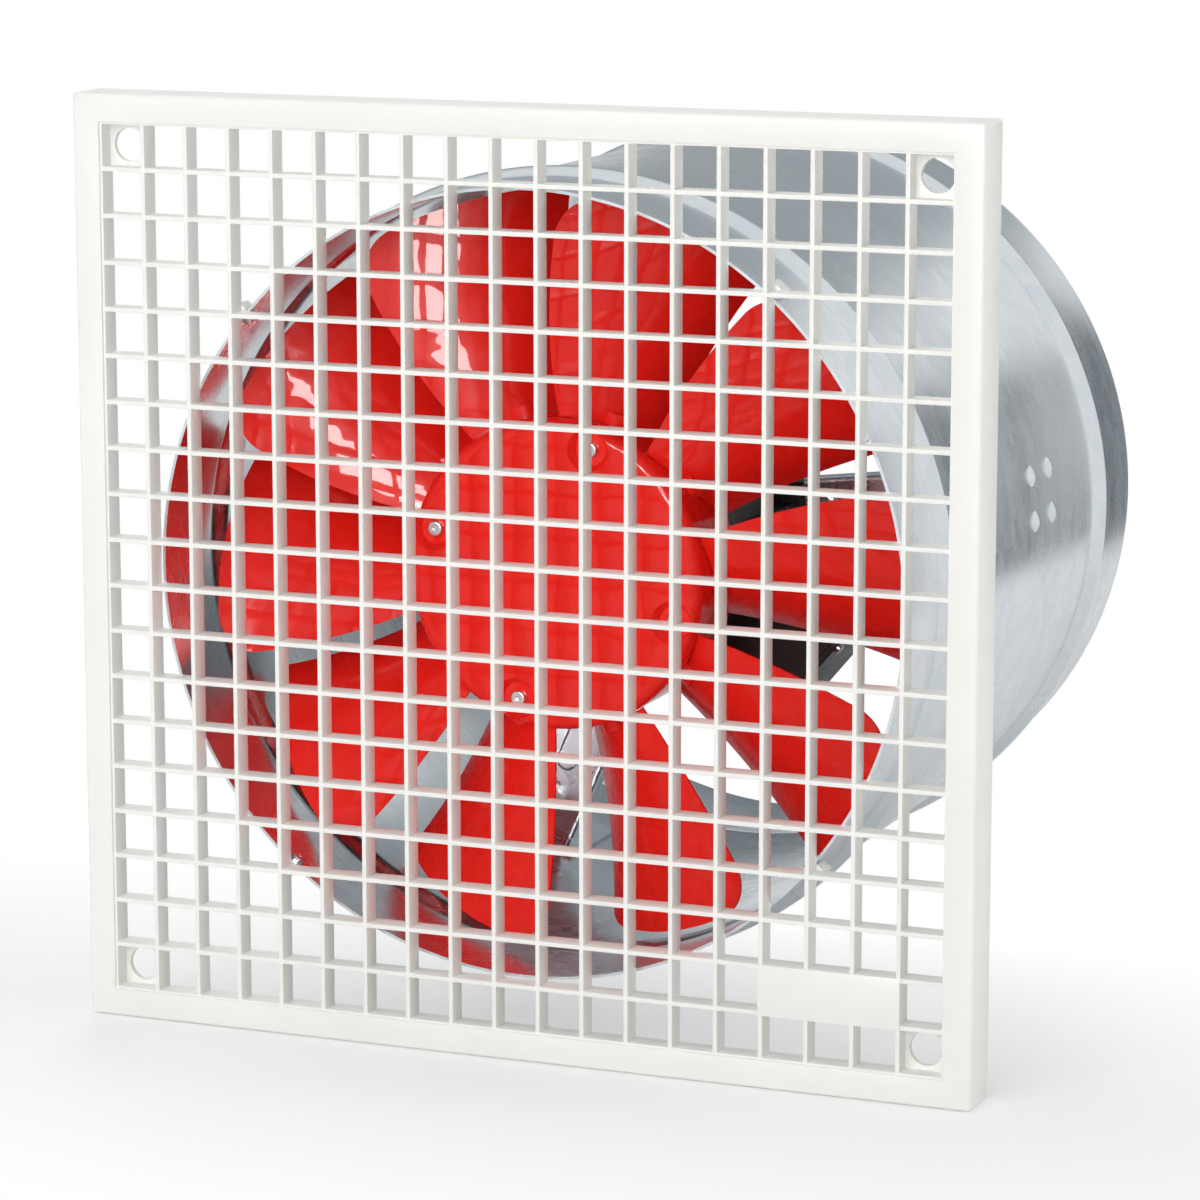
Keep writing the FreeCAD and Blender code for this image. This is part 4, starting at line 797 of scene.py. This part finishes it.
@dataclass
class DuctTube:
    """The rolled galvanised tube with its two stiffening beads. Sizes in metres."""

    wall: float = 1.5 * MM
    bead_setback: float = 62.0 * MM
    bead_height: float = 5.0 * MM
    bead_half_width: float = 11.0 * MM
    bead_steps: int = 8
    lip: float = 0.4 * MM
    steps: int = 240
    low: Vector = field(default_factory=lambda: Vector(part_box("duct_tube")[0]))
    high: Vector = field(default_factory=lambda: Vector(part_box("duct_tube")[1]))

    @property
    def radius(self) -> float:
        """The outer radius of the plain tube, without its beads."""
        return self.high.x - self.bead_height

    @property
    def beads(self) -> tuple[float, float]:
        """Where the two beads' crests lie along the axis."""
        return self.low.y + self.bead_setback, self.high.y - self.bead_setback

    def swell(self, y: float) -> float:
        """How far the wall stands out at a place along the axis.

        Args:
            y: The place along the axis.

        Returns:
            The bead's height there, zero on the plain tube.
        """
        for bead in self.beads:
            share = abs(y - bead) / self.bead_half_width
            if share < 1.0:
                return self.bead_height * (0.5 + 0.5 * math.cos(math.pi * share))
        return 0.0

    def build(self) -> list[Piece]:
        """Spins the wall's section round the axis, and returns the tube."""
        bm = bmesh.new()
        places = [self.low.y, self.low.y + self.lip]
        for bead in self.beads:
            places += [bead + self.bead_half_width * (step / self.bead_steps - 1.0)
                       for step in range(2 * self.bead_steps + 1)]
        places += [self.high.y - self.lip, self.high.y]
        outside = [bm.verts.new((self.radius + self.swell(y), y, 0.0)) for y in places]
        inside = [bm.verts.new((self.radius - self.wall + self.swell(y), y, 0.0)) for y in reversed(places)]
        loop = outside + inside
        edges = [bm.edges.new((a, b)) for a, b in zip(loop, loop[1:] + loop[:1])]
        bmesh.ops.spin(bm, geom=loop + edges, cent=(0, 0, 0), axis=AXIS, angle=math.tau, steps=self.steps,
                       use_merge=True)
        return [finish_piece("tube_shell", bm, "galvanised_sheet", FIXED_BODY, "duct_tube")]


# ---------------------------------------------------------------- carried-over nodes

@dataclass
class CarriedNodes:
    """Every CAD node that keeps its own mesh, dressed by the record's material slots."""

    nodes: dict[str, Piece] = field(default_factory=lambda: frame["nodes"])

    def build(self) -> list[Piece]:
        """Swaps each node's plain material for its real finish, and returns the nodes."""
        dressed = []
        for node in self.nodes.values():
            for slot in node.material_slots:
                finish = FINISHES.get(slot.material.name.split(".")[0]) if slot.material else None
                if finish is not None:
                    slot.material = finish.make()
                    dressed.append(node)
        return dressed


# ---------------------------------------------------------------- studio

class LampWork(Enum):
    """What a lamp is there for."""

    LIGHT = "light"
    GLOSS = "gloss"


@dataclass(frozen=True)
class SoftBox:
    """A soft rectangular lamp: where it hangs, its width and height, its watts and its work."""

    name: str
    at: tuple[float, float, float]
    size: tuple[float, float]
    power: float
    work: LampWork


@dataclass(frozen=True)
class Flag:
    """A grey card that glows, that the tube mirrors and the camera never sees, a painted reflection of shaded
    surroundings: its middle, size and colour.
    """

    name: str
    at: tuple[float, float, float]
    size: tuple[float, float]
    grey: str


# glowing grey cards that put painted shade into the tube's reflections, above and behind it and low behind it
FLAGS = (
    Flag("upper_flag", (-1.0, 2.6, 1.35), (3.4, 2.2), "A9AEB1"),
    Flag("lower_flag", (0.1, 1.3, -0.18), (1.1, 0.9), "6E7478"),
)

LAMPS = (
    SoftBox("front_softbox", (-0.5, -3.3, 1.3), (2.6, 2.2), 65.0, LampWork.LIGHT),
    SoftBox("right_window", (0.75, -2.45, 0.75), (1.1, 0.7), 80.0, LampWork.GLOSS),
    SoftBox("upper_window", (0.1, -2.3, 1.25), (0.7, 0.6), 44.0, LampWork.GLOSS),
    SoftBox("side_softbox", (2.6, 0.2, 0.9), (1.2, 1.6), 20.0, LampWork.LIGHT),
    SoftBox("top_softbox", (-0.2, 0.3, 2.4), (1.8, 1.4), 12.0, LampWork.LIGHT),
    SoftBox("back_softbox", (-1.4, 3.0, 1.7), (1.8, 1.6), 40.0, LampWork.LIGHT),
)


@dataclass
class Studio:
    """A white sweep, soft lamps and the camera. Sizes in metres, angles in degrees."""

    camera_place: tuple[float, float, float] = (0.8806, -2.1082, 0.4330)
    camera_yaw: float = 21.72
    camera_dip: float = 10.875
    lens: float = 140.25
    sensor: float = 36.0
    seen_to: float = 60.0
    lamps_face: tuple[float, float, float] = (0.0, 0.1, 0.0)
    flags_face: tuple[float, float, float] = (0.0, 0.2, 0.0)
    floor_drop: float = 0.4 * MM
    floor_reach: float = 40.0
    shadow_scale: tuple[float, float, float] = (0.45, 1.7, 0.0)
    seen_white: tuple[float, float, float] = (0.4, 0.12, 0.5)
    mirrored_white: tuple[float, float, float] = (0.08, 0.5, 1.6)

    def camera(self) -> None:
        """Places the camera at the front, a little to the right and above, looking slightly down."""
        data = bpy.data.cameras.new("camera")
        data.lens = self.lens
        data.sensor_width = self.sensor
        data.clip_end = self.seen_to
        eye = bpy.data.objects.new("camera", data)
        eye.location = self.camera_place
        eye.rotation_euler = (math.radians(90.0 - self.camera_dip), 0.0, math.radians(self.camera_yaw))
        bpy.context.scene.collection.objects.link(eye)
        bpy.context.scene.camera = eye

    def mirrored(self, tree: Tree) -> Socket:
        """One for a ray that metal mirrors or glass passes, zero for others."""
        path = add(tree, "ShaderNodeLightPath").outputs
        return add(tree, "ShaderNodeMath", {0: path["Is Glossy Ray"], 1: path["Is Transmission Ray"]},
                   operation="MAXIMUM").outputs[0]

    def shown(self, tree: Tree) -> Socket:
        """One for a ray that shows the background, straight or in metal or glass, and zero for light."""
        path = add(tree, "ShaderNodeLightPath").outputs
        return add(tree, "ShaderNodeMath", {0: path["Is Camera Ray"], 1: self.mirrored(tree)},
                   operation="MAXIMUM").outputs[0]

    def clear(self, tree: Tree, at: Socket, scale: tuple[float, float, float],
              white: tuple[float, float, float]) -> Socket:
        """How much of the floor's own white shows: part of it in the shadow near the object, then all.

        Args:
            tree: The floor's tree.
            at: Object coordinates.
            scale: How the shadow's zone is stretched.
            white: The share near the object, where the zone starts to fade and where it has gone.

        Returns:
            A value from the share near the object to 1.
        """
        zone = add(tree, "ShaderNodeVectorMath", {0: at, 1: scale}, operation="MULTIPLY")
        away = add(tree, "ShaderNodeVectorMath", {0: zone.outputs[0]}, operation="LENGTH").outputs["Value"]
        return spread(tree, away, white[0], 1.0, white[1], white[2])

    def flag(self, flag: Flag) -> None:
        """Stands one grey glowing card where the tube mirrors it, as a painted reflection of shaded
        surroundings.
        """
        facing = (Vector(self.flags_face) - Vector(flag.at)).to_track_quat("Z", "Y").to_matrix().to_4x4()
        size = Matrix.Diagonal((*flag.size, 1.0, 1.0))
        bm = bmesh.new()
        bmesh.ops.create_grid(bm, x_segments=1, y_segments=1, size=0.5,
                              matrix=Matrix.Translation(flag.at) @ facing @ size)
        material = empty_material(flag.name + "_felt")
        tree = material.node_tree
        # the card's grey glows but lights nothing; it only paints a shaded reflection on the tube
        painted_reflection_glow = add(tree, "ShaderNodeEmission", {"Color": linear(flag.grey), "Strength": 1.0})
        add(tree, "ShaderNodeOutputMaterial", {"Surface": painted_reflection_glow.outputs[0]})
        card = link_mesh(flag.name, bm, material)
        card.visible_camera = False
        card.visible_diffuse = False
        card.visible_shadow = False

    def floor(self) -> None:
        """A white floor just under the grille that stays white to the camera but keeps a soft shadow."""
        level = CAD_BOX[0][2] - self.floor_drop
        bm = bmesh.new()
        bmesh.ops.create_grid(bm, x_segments=1, y_segments=1, size=self.floor_reach,
                              matrix=Matrix.Translation((0.0, 0.0, level)))
        material = empty_material("paper_white")
        tree = material.node_tree
        matte = add(tree, "ShaderNodeBsdfDiffuse", {"Color": linear("F7F7F7")})
        glow = add(tree, "ShaderNodeEmission", {"Color": (1.0, 1.0, 1.0, 1.0), "Strength": 1.0})
        at = add(tree, "ShaderNodeTexCoord").outputs["Object"]
        seen = add(tree, "ShaderNodeMath", {0: add(tree, "ShaderNodeLightPath").outputs["Is Camera Ray"],
                                            1: self.clear(tree, at, self.shadow_scale, self.seen_white)},
                   operation="MULTIPLY")
        all_round = self.clear(tree, at, (1.0, 1.0, 1.0), self.mirrored_white)
        mirrored = add(tree, "ShaderNodeMath", {0: self.mirrored(tree), 1: all_round}, operation="MULTIPLY")
        share = add(tree, "ShaderNodeMath", {0: seen.outputs[0], 1: mirrored.outputs[0]}, operation="MAXIMUM")
        mixed = add(tree, "ShaderNodeMixShader", {
            0: share.outputs[0], 1: matte.outputs[0], 2: glow.outputs[0]})
        add(tree, "ShaderNodeOutputMaterial", {"Surface": mixed.outputs[0]})
        link_mesh("floor", bm, material)

    def lamp(self, box: SoftBox) -> None:
        """Hangs one soft box that points at the object and does only its own work."""
        data = bpy.data.lights.new(box.name, "AREA")
        data.shape = "RECTANGLE"
        data.size, data.size_y = box.size
        data.energy = box.power
        lamp = bpy.data.objects.new(box.name, data)
        lamp.location = box.at
        lamp.rotation_euler = (Vector(self.lamps_face) - Vector(box.at)).to_track_quat("-Z", "Y").to_euler()
        lamp.visible_glossy = box.work is LampWork.GLOSS
        lamp.visible_diffuse = box.work is LampWork.LIGHT
        bpy.context.scene.collection.objects.link(lamp)

    def surroundings(self) -> None:
        """White where the background shows, and an even pale light from all round."""
        world = bpy.data.worlds.new("studio")
        bpy.context.scene.world = world
        world.use_nodes = True
        tree = world.node_tree
        tree.nodes.clear()
        way = add(tree, "ShaderNodeSeparateXYZ", {0: add(tree, "ShaderNodeTexCoord").outputs["Generated"]})
        height = spread(tree, way.outputs["Z"], 0.26, 0.4, -0.3, 0.9)
        level = add(tree, "ShaderNodeMath", {0: height, 1: self.shown(tree)}, operation="MAXIMUM")
        back = add(tree, "ShaderNodeBackground", {
            "Color": (1.0, 1.0, 1.0, 1.0), "Strength": level.outputs[0]})
        add(tree, "ShaderNodeOutputWorld", {"Surface": back.outputs[0]})

    def build(self) -> list[Piece]:
        """Sets the stage and the view settings; none of it is part of the object."""
        self.camera()
        self.floor()
        self.surroundings()
        for flag in FLAGS:
            self.flag(flag)
        for box in LAMPS:
            self.lamp(box)
        bpy.context.scene.view_settings.view_transform = "Standard"
        return []


# ---------------------------------------------------------------- main


def main() -> None:
    """Builds the stage and each sub-assembly in order and reports every piece."""
    logging.basicConfig(level=logging.INFO, format="%(name)s %(message)s")
    steps: list[tuple[str, Callable[[], list[Piece]]]] = [
        ("studio", Studio().build),
        ("grille", Grille().build),
        ("duct tube", DuctTube().build),
        ("carried-over nodes", CarriedNodes().build),
    ]
    for title, build in steps:
        for piece in build():
            log.info("%s: %s, %d faces", title, piece.name, len(piece.data.polygons))


if __name__ == "__main__":
    main()
